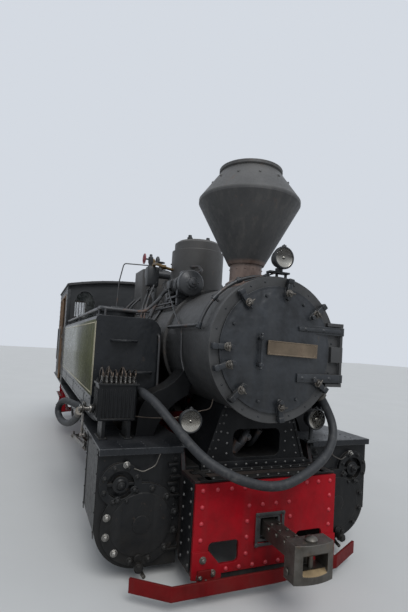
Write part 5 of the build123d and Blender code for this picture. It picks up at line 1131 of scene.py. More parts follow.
# Turret wheels, safety valves and the dome's studs, the switch box and the sand box's fittings
def top_details():
    boxes = Form()
    boxes.wheel((TURRET_X, (-0.175, 0.0, 0.15), 2.513), UP, 0.045, 0.006)
    valve = (0, 0.05), (0.01, 0.05), (0.014, 0.03), (0.05, 0.028), (0.055, 0.02), (0.075, 0.018), (0.08, 0)
    boxes.turned((1.60, (-0.10, 0.10), 2.606), UP, valve, 22)
    for dx, y in ring(16, 0.275):
        boxes.bolt((DOME_X + dx, y, BOILER_Z + 0.505), UP, 0.009, 0.014, False)
    boxes.box((1.37, -0.486, 2.135), (1.47, -0.366, 2.335), 0.006)
    boxes.box((1.465, -0.476, 2.15), (1.474, -0.376, 2.32), 0.003)
    boxes.box((1.395, -0.40, 1.85), (1.445, -0.375, 2.15), 0.003)
    boxes.box((1.40, -0.47, 2.09), (1.44, -0.38, 2.105), 0.003)
    boxes.bolt((1.474, -0.385, (2.17, 2.30)), AHEAD, 0.006, 0.006, False)
    boxes.slab((0.0975, (-0.2, 0.2), 2.4775), (0.125, 0.04, 0.009), 0.002)
    lid = (0, 0.112), (0.012, 0.116), (0.018, 0.10), (0.024, 0.03), (0.05, 0.02), (0.056, 0)
    boxes.turned((0.27, 0, 2.50), UP, lid, 32)
    boxes.rivet(((0.06, 0.48), (-0.24, 0.24), 2.475), UP, 0.008)
    boxes.rivet((0.52, (-0.24, -0.12, 0, 0.12, 0.24), (2.43, 2.10)), AHEAD, 0.007)
    boxes.piece("top_fittings", black)


def steam_valve_details():
    red_bits, stem = Form(), Form()
    red_bits.wheel((TURRET_X, -0.378, 2.535), OUT, 0.055, 0.008)
    red_bits.piece("red_handwheel", valve_red, "red_paint")
    stem.rod((TURRET_X, -0.37, 2.535), (TURRET_X, -0.29, 2.535), 0.010, 12)
    body = (0, 0.02), (0.03, 0.03), (0.09, 0.03), (0.10, 0.018), (0.125, 0.016), (0.13, 0)
    stem.turned((TURRET_X, -0.30, 2.47), UP, body, 20)
    body = (0, 0.02), (0.03, 0.026), (0.07, 0.026), (0.10, 0.014), (0.105, 0)
    stem.turned((TURRET_X, -0.215, 2.48), UP, body, 20)
    stem.piece("valve_bodies", fitting_black)


# Chimney: rim rings, seam, bolts on the upper cone
def chimney_details():
    form = Form()
    for height, radius, deep in ((2.700, 0.402, 0.010), (2.9, 0.258, 0.006)):
        inner = radius - 0.008
        hoop = (-deep, inner), (-deep, radius), (deep, radius), (deep, inner)
        form.turned((CHIMNEY_X, 0, height), UP, hoop, 64)
    for x, y in ring(12, 1, 15):
        form.bolt((CHIMNEY_X + x * 0.301, y * 0.301, 2.845), (x * 0.8, y * 0.8, 0.6), 0.009, 0.008)
    for x, y in ring(12, 1):
        form.rivet((CHIMNEY_X + x * 0.126, y * 0.126, 2.165), (x, y, 0), 0.007)
    form.piece("chimney_fittings", finish_of["chimney"], "chimney_paint")


# Couplers: pins, bolts on the shanks, worn lips
COUPLER_FACE_X, COUPLER_PIN_X, COUPLER_Z = 3.70, 3.642, 0.385


def coupler_details():
    worn, lips = Form(), Form()
    shank, head = ((-0.225, 0), (-0.222, 0.0165), (0, 0.0165)), ((0, 0.036), (0.010, 0.037), (0.020, 0.028))
    for end in (1, -1):
        worn.turned((end * COUPLER_PIN_X, 0, 0.495), UP, (*shank, *head, (0.026, 0.012), (0.027, 0)), 24)
        worn.slab((end * 3.56775, 0, COUPLER_Z), (0.0235, 0.136, 0.136), 0.010)
        for _ in both_sides():
            bolt_xs = [end * x for x in (3.28, 3.37, 3.46, 3.53)]
            worn.bolt((bolt_xs, 0.05, COUPLER_Z + 0.025), OUT, 0.013, 0.010, False)
            worn.bolt((bolt_xs, 0.028, COUPLER_Z + 0.05), UP, 0.011, 0.009, False)
            worn.rod((end * 3.61, 0.129, 0.33), (end * 3.61, 0.140, 0.33), 0.02, 14)
        rings, lip_x = [], 3.668
        for y in row(-0.080, 0.160 / 12, 13):
            edge_x = COUPLER_FACE_X - y * y / 0.79 - 0.0005
            low = 0.3490 - (edge_x - lip_x) * 0.771
            section = (lip_x, 0.3480), (edge_x, low), (edge_x, low + 0.0022), (lip_x, 0.3508)
            rings.append([(end * x, y, z) for x, z in section])
        lips.loft(rings)
    worn.piece("coupler_fittings", worn_steel, "worn_steel")
    lips.piece("coupler_lips", lip_steel, "worn_steel")


# Wheels and rods
CRANK = 0.2
ROD_FACE_Y = 0.665
CON_ROD_FACE_Y = 0.815
DRIVE_X = AXLE_XS[2]
CRANK_PINS = {"right": (CRANK, 0.0), "left": (0.0, -CRANK)}
CON_ROD = 1.95


def small_end_x(side):
    pin_x, pin_z = CRANK_PINS[side]
    return DRIVE_X + pin_x + math.sqrt(CON_ROD**2 - pin_z**2)


def wheel_details():
    for index, axle_x in enumerate(AXLE_XS):
        wheels, caps = Form(), Form()

        def place(across, y):
            return axle_x + across[0], y, AXLE_Z + across[1]

        for side in both_sides():
            pin = CRANK_PINS[side]
            tyre = (0.0, 0.300), (0.004, 0.303), (0.005, 0.327), (0.0, 0.330)
            wheels.turned((axle_x, 0.465, AXLE_Z), OUT, tyre, 72)
            hub = (0, 0.104), (0.003, 0.100), (0.004, 0.082), (0, 0.080)
            wheels.turned((axle_x, 0.469, AXLE_Z), OUT, hub, 40)
            for across in ring(20, 0.315):
                wheels.rivet(place(across, 0.470), OUT, 0.0075)
            # Round-backed ribs along the spokes
            for inner, outer in zip(ring(10, 0.100), ring(10, 0.296)):
                wheels.rod(place(inner, 0.427), place(outer, 0.427), 0.012, 10)
            # Rivets along the counterweight, opposite the crank pin
            for angle in row(math.degrees(math.atan2(-pin[1], -pin[0])) - 48, 12, 9):
                wheels.rivet(place(polar(0.245, angle), 0.605), OUT, 0.0062)
            end = (0, 0.060), (0.003, 0.058), (0.004, 0.030), (0.004, 0)
            caps.turned((axle_x, 0.605, AXLE_Z), OUT, end, 32)
            if axle_x != DRIVE_X:
                cap = (0, 0.048), (0.003, 0.046), (0.004, 0.030), (0.010, 0.028), (0.016, 0.026), (0.017, 0)
                caps.turned(place(pin, 0.679), OUT, cap, 6)
                reach = Vector((0.034, 0, 0))
                caps.rod(Vector(place(pin, 0.689)) - reach, Vector(place(pin, 0.689)) + reach, 0.0035, 8)
        number = index + 1
        paint = finish_of[f"wheelset_{number}"]
        wheels.piece(f"wheel_fittings_{number}", paint, "red_paint", f"axle_{number}")
        caps.piece(f"axle_caps_{number}", motion, "motion_steel", f"axle_{number}")


def rod_details():
    for side in both_sides():
        pin_x, pin_z = CRANK_PINS[side]
        form = Form()
        for axle_x in AXLE_XS:
            x, z = axle_x + pin_x, AXLE_Z + pin_z
            collar = (0, 0.070), (0.003, 0.069), (0.0045, 0.060), (0.0045, 0.0545), (0, 0.054)
            form.turned((x, ROD_FACE_Y, z), OUT, collar, 40)
            form.bolt((x, 0.640, z + 0.098), UP, 0.011, 0.010, False)
            if axle_x != AXLE_XS[-1]:
                form.bolt((x - 0.115, ROD_FACE_Y, z), OUT, 0.013, 0.009, False)
            if axle_x != AXLE_XS[0]:
                form.bolt((x + 0.115, ROD_FACE_Y, z), OUT, 0.013, 0.009, False)
        form.piece(f"coupling_rod_fittings_{side}", motion, "motion_steel", f"coupling_rod_{side}")
        # Connecting rod: straps, cotters and oil cups at both ends
        form = Form()
        small = Vector((small_end_x(side), CON_ROD_FACE_Y, AXLE_Z))
        big = Vector((DRIVE_X + pin_x, CON_ROD_FACE_Y, AXLE_Z + pin_z))
        along = (big - small).normalized()
        up = Vector((along.z, 0, -along.x))
        lean = Matrix.Rotation(math.atan2(along.z, -along.x), 4, "Y")
        for centre, reach, half, back in ((big, -0.125, 0.036, -0.185), (small, 0.085, 0.024, 0.135)):
            for distance, rise in product((reach, back), (-half, half)):
                form.bolt(centre + along * distance + up * rise, OUT, 0.0115, 0.010, False)
            middle = form.at(centre + along * (reach + back) / 2)
            form.block(Matrix.Translation(middle) @ lean, (0.016, 0.012, half * 3.4), 0.002)
        form.turned(small, OUT, ((0, 0.048), (0.003, 0.047), (0.004, 0.034), (0.008, 0.032), (0.009, 0)), 32)
        cup = (
            (0, 0.018), (0.018, 0.018), (0.022, 0.021), (0.030, 0.021), (0.034, 0.012), (0.040, 0.010),
            (0.041, 0),
        )
        for centre, rise in ((big, 0.088), (small, 0.050)):
            form.turned(centre + up * rise - Vector((0, 0.025, 0)), up, cup, 18)
        form.piece(f"connecting_rod_fittings_{side}", motion, "motion_steel", f"connecting_rod_{side}")
        # Crosshead: gib plates and bolts, pin nut, gland cotter
        form, x = Form(), small_end_x(side)
        form.bolt((row(x - 0.09, 0.06, 4), 0.84, (0.483, 0.553)), OUT, 0.0095, 0.008, False)
        form.nut((pairs(x, 0.095), 0.79, 0.567), UP, 0.012, 0.012, 0.010)
        form.turned((x, 0.840, AXLE_Z), OUT, ((0, 0.043), (0.004, 0.042), (0.0045, 0.032)), 30)
        form.nut((x, 0.852, AXLE_Z), OUT, 0.026, 0.018, 0.008)
        form.slab((x + 0.123, 0.790, AXLE_Z), (0.022, 0.090, 0.020), 0.002)
        gland = (-0.004, 0.049), (0.014, 0.044), (0.018, 0.034), (0.018, 0.030)
        form.turned((x + 0.15, 0.79, AXLE_Z), AHEAD, gland, 28)
        form.piece(f"crosshead_fittings_{side}", motion, "motion_steel", f"crosshead_{side}")


def gear_details():
    """Pins and cups of the valve gear, guide-bar brackets, glands and the reach rod."""
    form, dark = Form(), Form()
    link_x, link_z, gear_y, lever_x = 1.13, 0.640, 0.950, 2.08
    for side in both_sides():
        pin_x, pin_z = CRANK_PINS[side]
        foot_x, foot_z = DRIVE_X + pin_z * 0.45, AXLE_Z - pin_x * 0.45
        for x, z, radius in (
            (foot_x, foot_z, 0.022), (link_x + 0.010, link_z - 0.205, 0.018), (lever_x, VALVE_Z, 0.016),
            (lever_x, AXLE_Z - 0.045, 0.015), (lever_x, VALVE_Z + 0.045, 0.011),
        ):
            form.nut((x, gear_y, z), OUT, radius, 0.014, 0.008)
        form.nut((link_x, gear_y + 0.014, link_z), OUT, 0.026, 0.014, 0.008)
        cup = (0, 0.010), (0.014, 0.010), (0.018, 0.014), (0.026, 0.014), (0.028, 0)
        form.turned((foot_x, 0.938, foot_z + 0.030), UP, cup, 14)
        form.bolt((link_x + 0.012, gear_y + 0.014, pairs(link_z, 0.145)), OUT, 0.012, 0.01)
        cap = (0, 0.034), (0.006, 0.033), (0.008, 0.022), (0.016, 0.021), (0.017, 0)
        form.turned((DRIVE_X + pin_x, 0.853, AXLE_Z + pin_z), OUT, cap, 6)
        # Drop link at the lever's foot
        form.slab((lever_x, 0.938, AXLE_Z - 0.0735), (0.044, 0.024, 0.023), 0.004)
        # Motion bracket: bolts to the frame, and the guide bar's bolts
        form.nut(((1.38, 1.40), 0.79, 0.539), UP, 0.013, 0.012, 0.008)
        dark.bolt((1.42, (0.60, 0.74), (0.72, 0.80)), AHEAD, 0.013, 0.011)
        dark.bolt((1.42, 0.79, (0.56, 0.70, 0.82)), AHEAD, 0.012, 0.010)
        # Stuffing boxes: gland plates with studs
        for y, z, radius, x in ((CYLINDER_Y, AXLE_Z, 0.076, 2.25), (VALVE_Y, VALVE_Z, 0.055, 2.27)):
            gland = (0, radius), (0.014, radius), (0.018, radius * 0.7), (0.018, 0.032)
            dark.turned((x, y, z), BACK, gland, 36)
            for dy, dz in ring(4, radius * 0.78, 45):
                form.nut((x - 0.014, y + dy, z + dz), BACK, 0.010, 0.010, 0.010)
        dark.box((2.235, 0.76, 0.537), (2.34, 0.82, 0.560), 0.004)
        form.bolt((2.27, (0.775, 0.805), 0.560), UP, 0.009, 0.009)
    form.piece("gear_pins", motion, "motion_steel")
    # Reach rod from the cab to the weigh shaft, with its arms, on the right
    shaft_x, shaft_z = 1.15, 0.932
    dark.box((-0.86, -1.028, 0.918), (1.16, -1.014, 0.946), 0.003)
    dark.rod((shaft_x, -1.035, shaft_z), (shaft_x, -0.60, shaft_z), 0.022, 18)
    dark.rod((shaft_x, 0.60, shaft_z), (shaft_x, 0.97, shaft_z), 0.022, 18)
    dark.slab((shaft_x, (-1.018, -0.90, 0.90), 0.913), (0.044, 0.016, 0.090), 0.006)
    dark.nut((shaft_x, -1.030, shaft_z), IN, 0.014, 0.01)
    dark.piece("gear_brackets", greasy_black)


# Frames, springs, brakes and the ashpan
STRETCHERS = (
    (2.15, 0.67), (1.25, 0.50), (0.35, 0.50), (-0.55, 0.50), (-1.5, 0.67), (-2.35, 0.42), (-2.96, 0.67),
)
SPRING_TOP_Z = 1.052


def frame_details():
    rivets, keeps, springs = Form(), Form(), Form()
    for _ in both_sides():
        for x, high in STRETCHERS:
            rivets.rivet((x, FRAME_Y, row(0.335, 0.055, int((high - 0.335) / 0.055) + 1)), OUT, 0.0095)
        rivets.rivet(((-1.35, -1.6, -1.85, -2.1, -2.5, -2.75, -3.05), FRAME_Y, 0.835), OUT, 0.0095)
        keeps.slab((AXLE_XS, 0.519, 0.2235), (0.34, 0.038, 0.019))
        keeps.nut((pairs(AXLE_XS, 0.145), 0.519, 0.214), DOWN, 0.013, 0.012, 0.008)
        keeps.slab((pairs(AXLE_XS, 0.1215), 0.5385, 0.3725), (0.027, 0.012, 0.255))
        sprung = AXLE_XS[:3]
        springs.nut((pairs(sprung, 0.3), 0.515, SPRING_TOP_Z + 0.030), UP, 0.020, 0.018, 0.004)
        springs.slab((pairs(sprung, 0.3), 0.515, PLATE_Z + 0.006), (0.068, 0.060, 0.012))
        springs.bolt((sprung, 0.553, (SPRING_TOP_Z - 0.07, SPRING_TOP_Z - 0.02)), OUT, 0.011, 0.008, False)
    rivets.piece("frame_rivets", frame_red, "red_paint")
    keeps.piece("axlebox_keeps", greasy_black)
    springs.piece("spring_fittings", greasy_black)


def brake_details():
    """Pull rods below the beams, hanger pins, the cross shaft under the cab, and the ashpan's dampers."""
    under = Form()
    shaft_x, rod_y, rod_z = -2.02, 0.13, 0.288
    hanger_xs = [x - 0.399 for x in AXLE_XS]
    for _ in both_sides():
        under.rod((shaft_x, rod_y, rod_z), (1.32, rod_y, rod_z), 0.012, 12)
        under.rod((shaft_x, rod_y, rod_z), (shaft_x, rod_y, 0.43), 0.018, 10)
        under.slab((hanger_xs, rod_y, 0.304), (0.056, 0.040, 0.068), 0.004)
        under.nut((hanger_xs, 0.395, AXLE_Z + 0.12), IN, 0.018, 0.012, 0.006)
        under.nut((hanger_xs, 0.443, AXLE_Z - 0.060), OUT, 0.014, 0.010, 0.006)
    under.rod((shaft_x, -0.505, 0.43), (shaft_x, 0.505, 0.43), 0.030, 20)
    under.rod((shaft_x, 0.36, 0.43), (-2.12, 0.36, 0.44), 0.020, 12)
    brake_cylinder = (0, 0), (0, 0.03), (0.02, 0.035), (0.04, 0.11), (0.23, 0.115), (0.25, 0.10), (0.26, 0)
    under.turned((-2.12, 0.36, 0.44), BACK, brake_cylinder, 36)
    under.box((-2.36, 0.26, 0.52), (-2.14, 0.46, 0.56), 0.006)
    # Ashpan: edge angles, damper doors with their hinges and rods
    for x, out in ((-0.83, -1), (0.15, 1)):
        under.box((x, -0.22, 0.515), (x + out * 0.010, 0.22, 0.66), 0.003)
        under.rod((x + out * 0.012, -0.25, 0.668), (x + out * 0.012, 0.25, 0.668), 0.010, 12)
        under.slab((x + out * 0.012, (-0.17, 0.17), 0.6025), (0.008, 0.036, 0.145), 0.003)
        under.rod((x + out * 0.014, 0.0, 0.56), (x + out * 0.05, 0.0, 0.56), 0.010, 10)
    under.rod((-0.88, 0.0, 0.56), (-1.15, 0.0, 0.60), 0.008, 10)
    for _ in both_sides():
        under.box((-0.82, 0.331, 0.69), (0.14, 0.340, 0.725), 0.002)
        under.rivet((row(-0.78, 0.11, 9), 0.340, 0.708), OUT, 0.008)
        # Steam and air pipes along the frames
        way = (-2.9, 0.46, 0.60), (-1.60, 0.46, 0.60), (-1.55, 0.484, 0.72), (2.1, 0.484, 0.72)
        under.pipe(way, 0.013, 10, 0.05)
    under.piece("brake_rods", greasy_black)


# Sand pipes down to the rails, injectors with their pipes under the cab, and the steps' treads
def low_pipes():
    pipes, bodies, treads = Form(), Form(), Form()
    body = (
        (0, 0), (0, 0.026), (0.03, 0.026), (0.035, 0.036), (0.06, 0.036), (0.07, 0.028), (0.16, 0.034),
        (0.17, 0.046),
        (0.20, 0.046), (0.21, 0.030), (0.30, 0.028), (0.305, 0.038), (0.33, 0.038), (0.34, 0),
    )
    x, y, z = -1.02, 0.90, 0.70
    stem_x, out_x, delivery_x = x - 0.05, x + 0.06, x + 0.34
    for _ in both_sides():
        for top_x, foot_x, end_x in ((0.42, 0.37, 0.44), (0.12, 0.37, 0.31)):
            pipes.pipe([
                (top_x, 0.285, 2.12), (top_x, 0.40, 2.00), (top_x, 0.520, 1.74), (top_x, 0.535, 1.60),
                (top_x, 0.535, 1.10), (top_x + 0.03, 0.50, 1.00), (top_x + 0.06, 0.486, 0.80),
                (foot_x, 0.486, 0.40), (end_x, 0.43, 0.12),
            ], 0.0145, 10, 0.06)
        # Injector: a bronze-coloured body with four connections
        bodies.turned((x - 0.17, y, z), AHEAD, body, 28)
        union = (0, 0.03), (0.06, 0.03), (0.065, 0.038), (0.085, 0.038), (0.09, 0.02)
        bodies.turned((stem_x, y, z), UP, union, 20)
        union = (0, 0.026), (0.05, 0.026), (0.055, 0.033), (0.075, 0.033), (0.08, 0.018)
        bodies.turned((out_x, y, z), DOWN, union, 20)
        bodies.wheel((stem_x, y + 0.095, z), OUT, 0.04, 0.005)
        bodies.rod((stem_x, y, z), (stem_x, y + 0.095, z), 0.010, 10)
        pipes.pipe([(stem_x, y, z + 0.08), (stem_x, y, 0.848)], 0.022, 14)
        way = (
            (x + 0.30, y, z), (delivery_x, y - 0.05, z + 0.05), (delivery_x, 0.80, 0.86),
            (delivery_x, 0.80, 1.12),
        )
        pipes.pipe([(x + 0.16, y, z), *way], 0.024, 14, 0.06)
        pipes.pipe([(x - 0.17, y, z), (x - 0.26, y, z + 0.01), (x - 0.28, y, 0.848)], 0.018, 12, 0.05)
        pipes.pipe([(out_x, y, z - 0.08), (out_x, y, 0.50), (x + 0.09, y - 0.02, 0.36)], 0.018, 12, 0.05)
        # Treads and nosings of the cab steps
        tread_zs, tread, nosing_zs = (0.434, 0.654), (0.032, 0.015, 0.004), (0.427, 0.647)
        treads.slab((row(-1.80, 0.05, 13), (0.9275, 1.0475), tread_zs), tread, 0.001)
        treads.slab((row(-1.775, 0.05, 12), 0.9875, tread_zs), tread, 0.001)
        treads.slab((-1.1855, 0.9875, tread_zs), (0.011, *tread[1:]), 0.001)
        treads.rod((-1.832, 1.079, nosing_zs), (-1.178, 1.079, nosing_zs), 0.009, 10)
        treads.bolt(((-1.83, -1.18), 1.0405, (0.50, 0.72, 0.82)), OUT, 0.010, 0.008, False)
    pipes.piece("low_pipes", rail_steel, "worn_steel")
    bodies.piece("injectors", brass, "worn_steel")
    treads.piece("step_treads", worn_steel, "worn_steel")


# Cab: windows, rails, corner angles and rivets, roof ribs, hatch
WINDOW_Y, WINDOW_HALF, WINDOW_LOW_Z, WINDOW_SPRING_Z = 0.836, 0.158, 1.790, 2.140
SIDE_WINDOW = (-2.36, -1.89, 1.74, 2.22)
BACK_WINDOW = (0.640, 0.940, 1.950, 2.250)
DOORWAY_XS = (-1.83, -1.18)
ROOF_RADIUS, ROOF_CENTRE_Z = 4.801, -2.321
BUNKER_HALF = 1.040


def arch_outline(inset):
    """The front window's outline, drawn in from the opening's edge, as (y, z)."""
    half, top = WINDOW_HALF - inset, WINDOW_HALF - 0.020 - inset
    low, spring = WINDOW_LOW_Z + inset, WINDOW_SPRING_Z - inset
    bend = [polar(top, angle) for angle in row(180, -180 / 16, 17)]
    bend = [(WINDOW_Y + dy, WINDOW_SPRING_Z + dz) for dy, dz in bend]
    near, far = WINDOW_Y - half, WINDOW_Y + half
    return [(near, low), (near, spring), *bend, (far, spring), (far, low)]


def box_outline(a0, a1, z0, z1, inset):
    return [
        (a0 + inset, z0 + inset), (a0 + inset, z1 - inset), (a1 - inset, z1 - inset),
        (a1 - inset, z0 + inset),
    ]


def window_frame(form, panes, outline, place, low, high, width=0.016):
    """A frame and a pane: outline(inset) gives pairs, place(depth, a, b) puts them in space."""
    form.loft([
        [place(low, *outer), place(high, *outer), place(high, *inner), place(low, *inner)]
        for outer, inner in zip(outline(-0.004), outline(width))
    ], closed=True)
    rear, front = (low + high) / 2 - 0.0015, (low + high) / 2 + 0.0015
    push = Vector(place(front, 0, 0)) - Vector(place(rear, 0, 0))
    panes.plate([place(rear, *pair) for pair in outline(width - 0.004)], push, 0.003)


def across(depth, y, z):
    return depth, y, z


def along(depth, x, z):
    return x, depth, z


def window_details():
    frames, panes, bars, arches = Form(), Form(), Form(), Form()
    x0, x1, z0, z1 = SIDE_WINDOW
    in_y, out_y, low_z, high_z = BACK_WINDOW
    wall, middle_x, middle_z = HALF_WIDTH - 0.010, (x0 + x1) / 2, (z0 + z1) / 2
    for _ in both_sides():
        window_frame(arches, panes, arch_outline, across, -0.874, -0.844)
        arches.slab((-0.841, WINDOW_Y, WINDOW_LOW_Z - 0.016), (0.018, 0.350, 0.020))
        window_frame(frames, panes, lambda inset: box_outline(*BACK_WINDOW, inset), across, -2.484, -2.456)
        bar_ys = row(in_y + 0.03, 0.048, 6)
        bars.rod((-2.490, bar_ys, low_z - 0.02), (-2.490, bar_ys, high_z + 0.02), 0.0065, 8)
        bar_zs = low_z - 0.012, high_z + 0.012
        bars.slab((-2.4885, (in_y + out_y) / 2, bar_zs), (0.015, out_y - in_y, 0.016), 0.002)
        # The side window's frame, its rear half glazed by a sliding pane
        pane_edges = x0, middle_x + 0.02, z0, z1
        near, far = HALF_WIDTH - 0.017, HALF_WIDTH - 0.003
        window_frame(frames, panes, lambda inset: box_outline(*pane_edges, inset), along, near, far)
        frames.slab((middle_x, wall, (z0 - 0.004, z1 + 0.004)), (x1 - x0 + 0.02, 0.026, 0.016), 0.002)
        frames.slab(((x0 - 0.004, x1 + 0.004), wall, middle_z), (0.016, 0.026, z1 - z0), 0.002)
        sill = x0 - 0.02, HALF_WIDTH - 0.09, z0 - 0.035
        frames.box(sill, (x1 + 0.02, HALF_WIDTH + 0.008, z0 - 0.011), 0.006)
    # Beading round the doorways
    for wall_y in (-wall, wall):
        inner, outer = wall_y - 0.014, wall_y + 0.013
        for x in DOORWAY_XS:
            frames.box((x - 0.011, inner, PLATE_Z + 0.01), (x + 0.011, outer, 2.225))
        frames.box((DOORWAY_XS[0] - 0.01, inner, 2.212), (DOORWAY_XS[1] + 0.01, outer, 2.234))
    frames.piece("window_frames", wood)
    arches.piece("arched_frames", black)
    panes.piece("window_panes", window_glass, "lamp_enamel")
    bars.piece("window_bars", rail_steel, "worn_steel")


def cab_details():
    """Grab rails and chains, corner angles and the cab's rivets."""
    rails, angles, rivets = Form(), Form(), Form()
    rail_xs, rail_y = (DOORWAY_XS[0] - 0.045, DOORWAY_XS[1] + 0.045), 1.0925
    angle_xs = CAB_REAR_X + 0.025, CAB_FRONT_X - 0.025
    for _ in both_sides():
        for x in rail_xs:
            way = (x, 1.085, 1.02), (x, rail_y, 1.03), (x, rail_y, 1.70), (x, 1.085, 1.71)
            rails.pipe(way, 0.0115, 12, 0.01)
        rails.slab((rail_xs, 1.08915, (1.02, 1.71)), (0.040, 0.0047, 0.060), 0.002)
        rails.rivet((rail_xs, 1.0915, pairs((1.02, 1.71), 0.021)), OUT, 0.005)
        # Chain across the doorway
        links = [(DOORWAY_XS[0] + 0.65 * t, 1.075, 1.62 - 0.30 * t * (1 - t)) for t in row(0, 1 / 12, 13)]
        rails.pipe(links, 0.006, 6, 0.01)
        middle_z, height = (PLATE_Z + 2.335) / 2, 2.315 - PLATE_Z
        angles.slab((angle_xs, HALF_WIDTH + 0.0015, middle_z), (0.046, 0.005, height), 0.0015)
        rivets.rivet((angle_xs, HALF_WIDTH + 0.004, row(0.93, 0.084, 17)), OUT, 0.008)
        rivets.rivet((row(-1.12, 0.055, 6) + row(-2.42, 0.105, 6), HALF_WIDTH, 0.905), OUT, 0.008)
        rivets.rivet((row(-2.38, 0.12, 13), HALF_WIDTH, 2.30), OUT, 0.008)
        for face_x, out, foot_z, rivet_zs in (
            (CAB_FRONT_X, AHEAD, 1.78, row(1.82, 0.08, 7)), (CAB_REAR_X, BACK, 1.92, row(1.96, 0.08, 5)),
        ):
            outer_x = face_x + 0.004 * out[0]
            angles.box((face_x - 0.001 * out[0], 1.040, foot_z), (outer_x, 1.086, 2.32), 0.0015)
            rivets.rivet((outer_x, 1.063, rivet_zs), out, 0.008)
    for y in row(-1.0, 2.0 / 22, 23):
        z = ROOF_CENTRE_Z + math.sqrt((ROOF_RADIUS - 0.055) ** 2 - y * y)
        rivets.rivet((CAB_FRONT_X, y, z), AHEAD, 0.008)
        rivets.rivet((CAB_REAR_X, y, z), BACK, 0.008)
    rails.piece("grab_rails", worn_steel, "worn_steel")
    angles.piece("cab_angles", black)
    rivets.piece("cab_rivets", black)


def over_roof(rise, degrees):
    """(y, z) at a height over the roof's top surface and an angle from its ridge."""
    y, up = polar(ROOF_RADIUS + rise, 90 - degrees)
    return y, ROOF_CENTRE_Z + up


def arc_strip(form, x0, x1, low, high, reach=13.2):
    """A strip bent over the roof between two distances from its top surface."""
    corners = (x0, low), (x0, high), (x1, high), (x1, low)
    angles = row(-reach, reach / 18, 37)
    form.loft([[(x, *over_roof(rise, angle)) for x, rise in corners] for angle in angles])


def roof_details():
    form, inside = Form(), Form()
    seam_xs = -2.525, -1.98, -1.355, -0.805
    for x in seam_xs:
        arc_strip(form, x - 0.018, x + 0.018, -0.002, 0.005)
    for angle in row(-12.6, 1.8, 15):
        form.rivet((seam_xs, *over_roof(0.005, angle)), (0, *polar(1, 90 - angle)), 0.0075)
    for x in (-2.541, -0.789):
        arc_strip(form, x - 0.004, x + 0.004, -0.030, 0.003)
    for _ in both_sides():
        form.rod((-2.54, 1.098, 2.3435), (-0.79, 1.098, 2.3435), 0.008, 12)
        # Rain strip over the doorway, and a runner of the hatch
        way = (-2.05, 1.06, 2.357), (-1.95, 1.03, 2.371), (-1.05, 1.03, 2.371), (-0.95, 1.06, 2.357)
        form.pipe(way, 0.007, 8, 0.04)
        form.box((-2.10, 0.313, 2.455), (-1.25, 0.337, 2.489))
    # Sliding hatch with its handle
    form.box((-2.02, -0.30, 2.466), (-1.52, 0.30, 2.500), 0.008)
    form.box((-1.97, -0.26, 2.497), (-1.57, 0.26, 2.506), 0.004)
    way = (-1.52, -0.05, 2.488), (-1.49, -0.05, 2.492), (-1.49, 0.05, 2.492), (-1.52, 0.05, 2.488)
    form.pipe(way, 0.006, 8, 0.01)
    form.piece("roof_fittings", roof_paint, "black_paint")
    # Ribs under the roof
    for x in (-2.05, -1.26):
        arc_strip(inside, x - 0.02, x + 0.02, -0.050, -0.0125, 12.4)
    inside.piece("roof_ribs", black)


# Boiler fittings on the backhead, controls, seats and boards
BACKHEAD_X = CAB_FRONT_X - 0.25


def backhead_shell(body, shiny):
    """Edge ring of rivets, washout plugs, fire hole tray, the door's latch and the regulator."""
    face = BACKHEAD_X
    for angle in row(-15, 10, 22):
        body.rivet((face, *barrel(0.455, angle)), BACK, 0.011)
    shiny.bolt((face, (-0.34, 0.34, -0.12, 0.12), 0.98), BACK, 0.022, 0.024)
    body.rivet((face, (-0.43, 0.43), row(0.92, 0.10, 6)), BACK, 0.011)
    body.box((face - 0.16, -0.20, 1.012), (face, 0.20, 1.028), 0.004)
    body.rod((face - 0.012, -0.235, 1.257), (face - 0.060, -0.235, 1.257), 0.012, 12)
    body.box((face - 0.066, -0.245, 1.235), (face - 0.050, -0.165, 1.257))
    gland = (0, 0.075), (0.014, 0.075), (0.016, 0.045), (0.06, 0.043), (0.062, 0.055)
    spindle = (0.078, 0.055), (0.080, 0.018), (0.14, 0.018), (0.142, 0)
    body.turned((face, 0.0, 1.90), BACK, (*gland, *spindle), 30)
    for dy, dz in ring(6, 0.060):
        shiny.nut((face - 0.014, dy, 1.90 + dz), BACK, 0.009, 0.009, 0.006)
    grip_place = face - 0.165, 0.18, 1.63
    way = (face - 0.125, 0.0, 1.90), (face - 0.130, 0.03, 1.83), (face - 0.150, 0.12, 1.71), grip_place
    shiny.pipe(way, 0.013, 12, 0.04)
    grip = (-0.01, 0.012), (0, 0.018), (0.09, 0.020), (0.11, 0.012), (0.115, 0)
    shiny.turned(grip_place, (0, 0.45, -0.9), grip, 16)


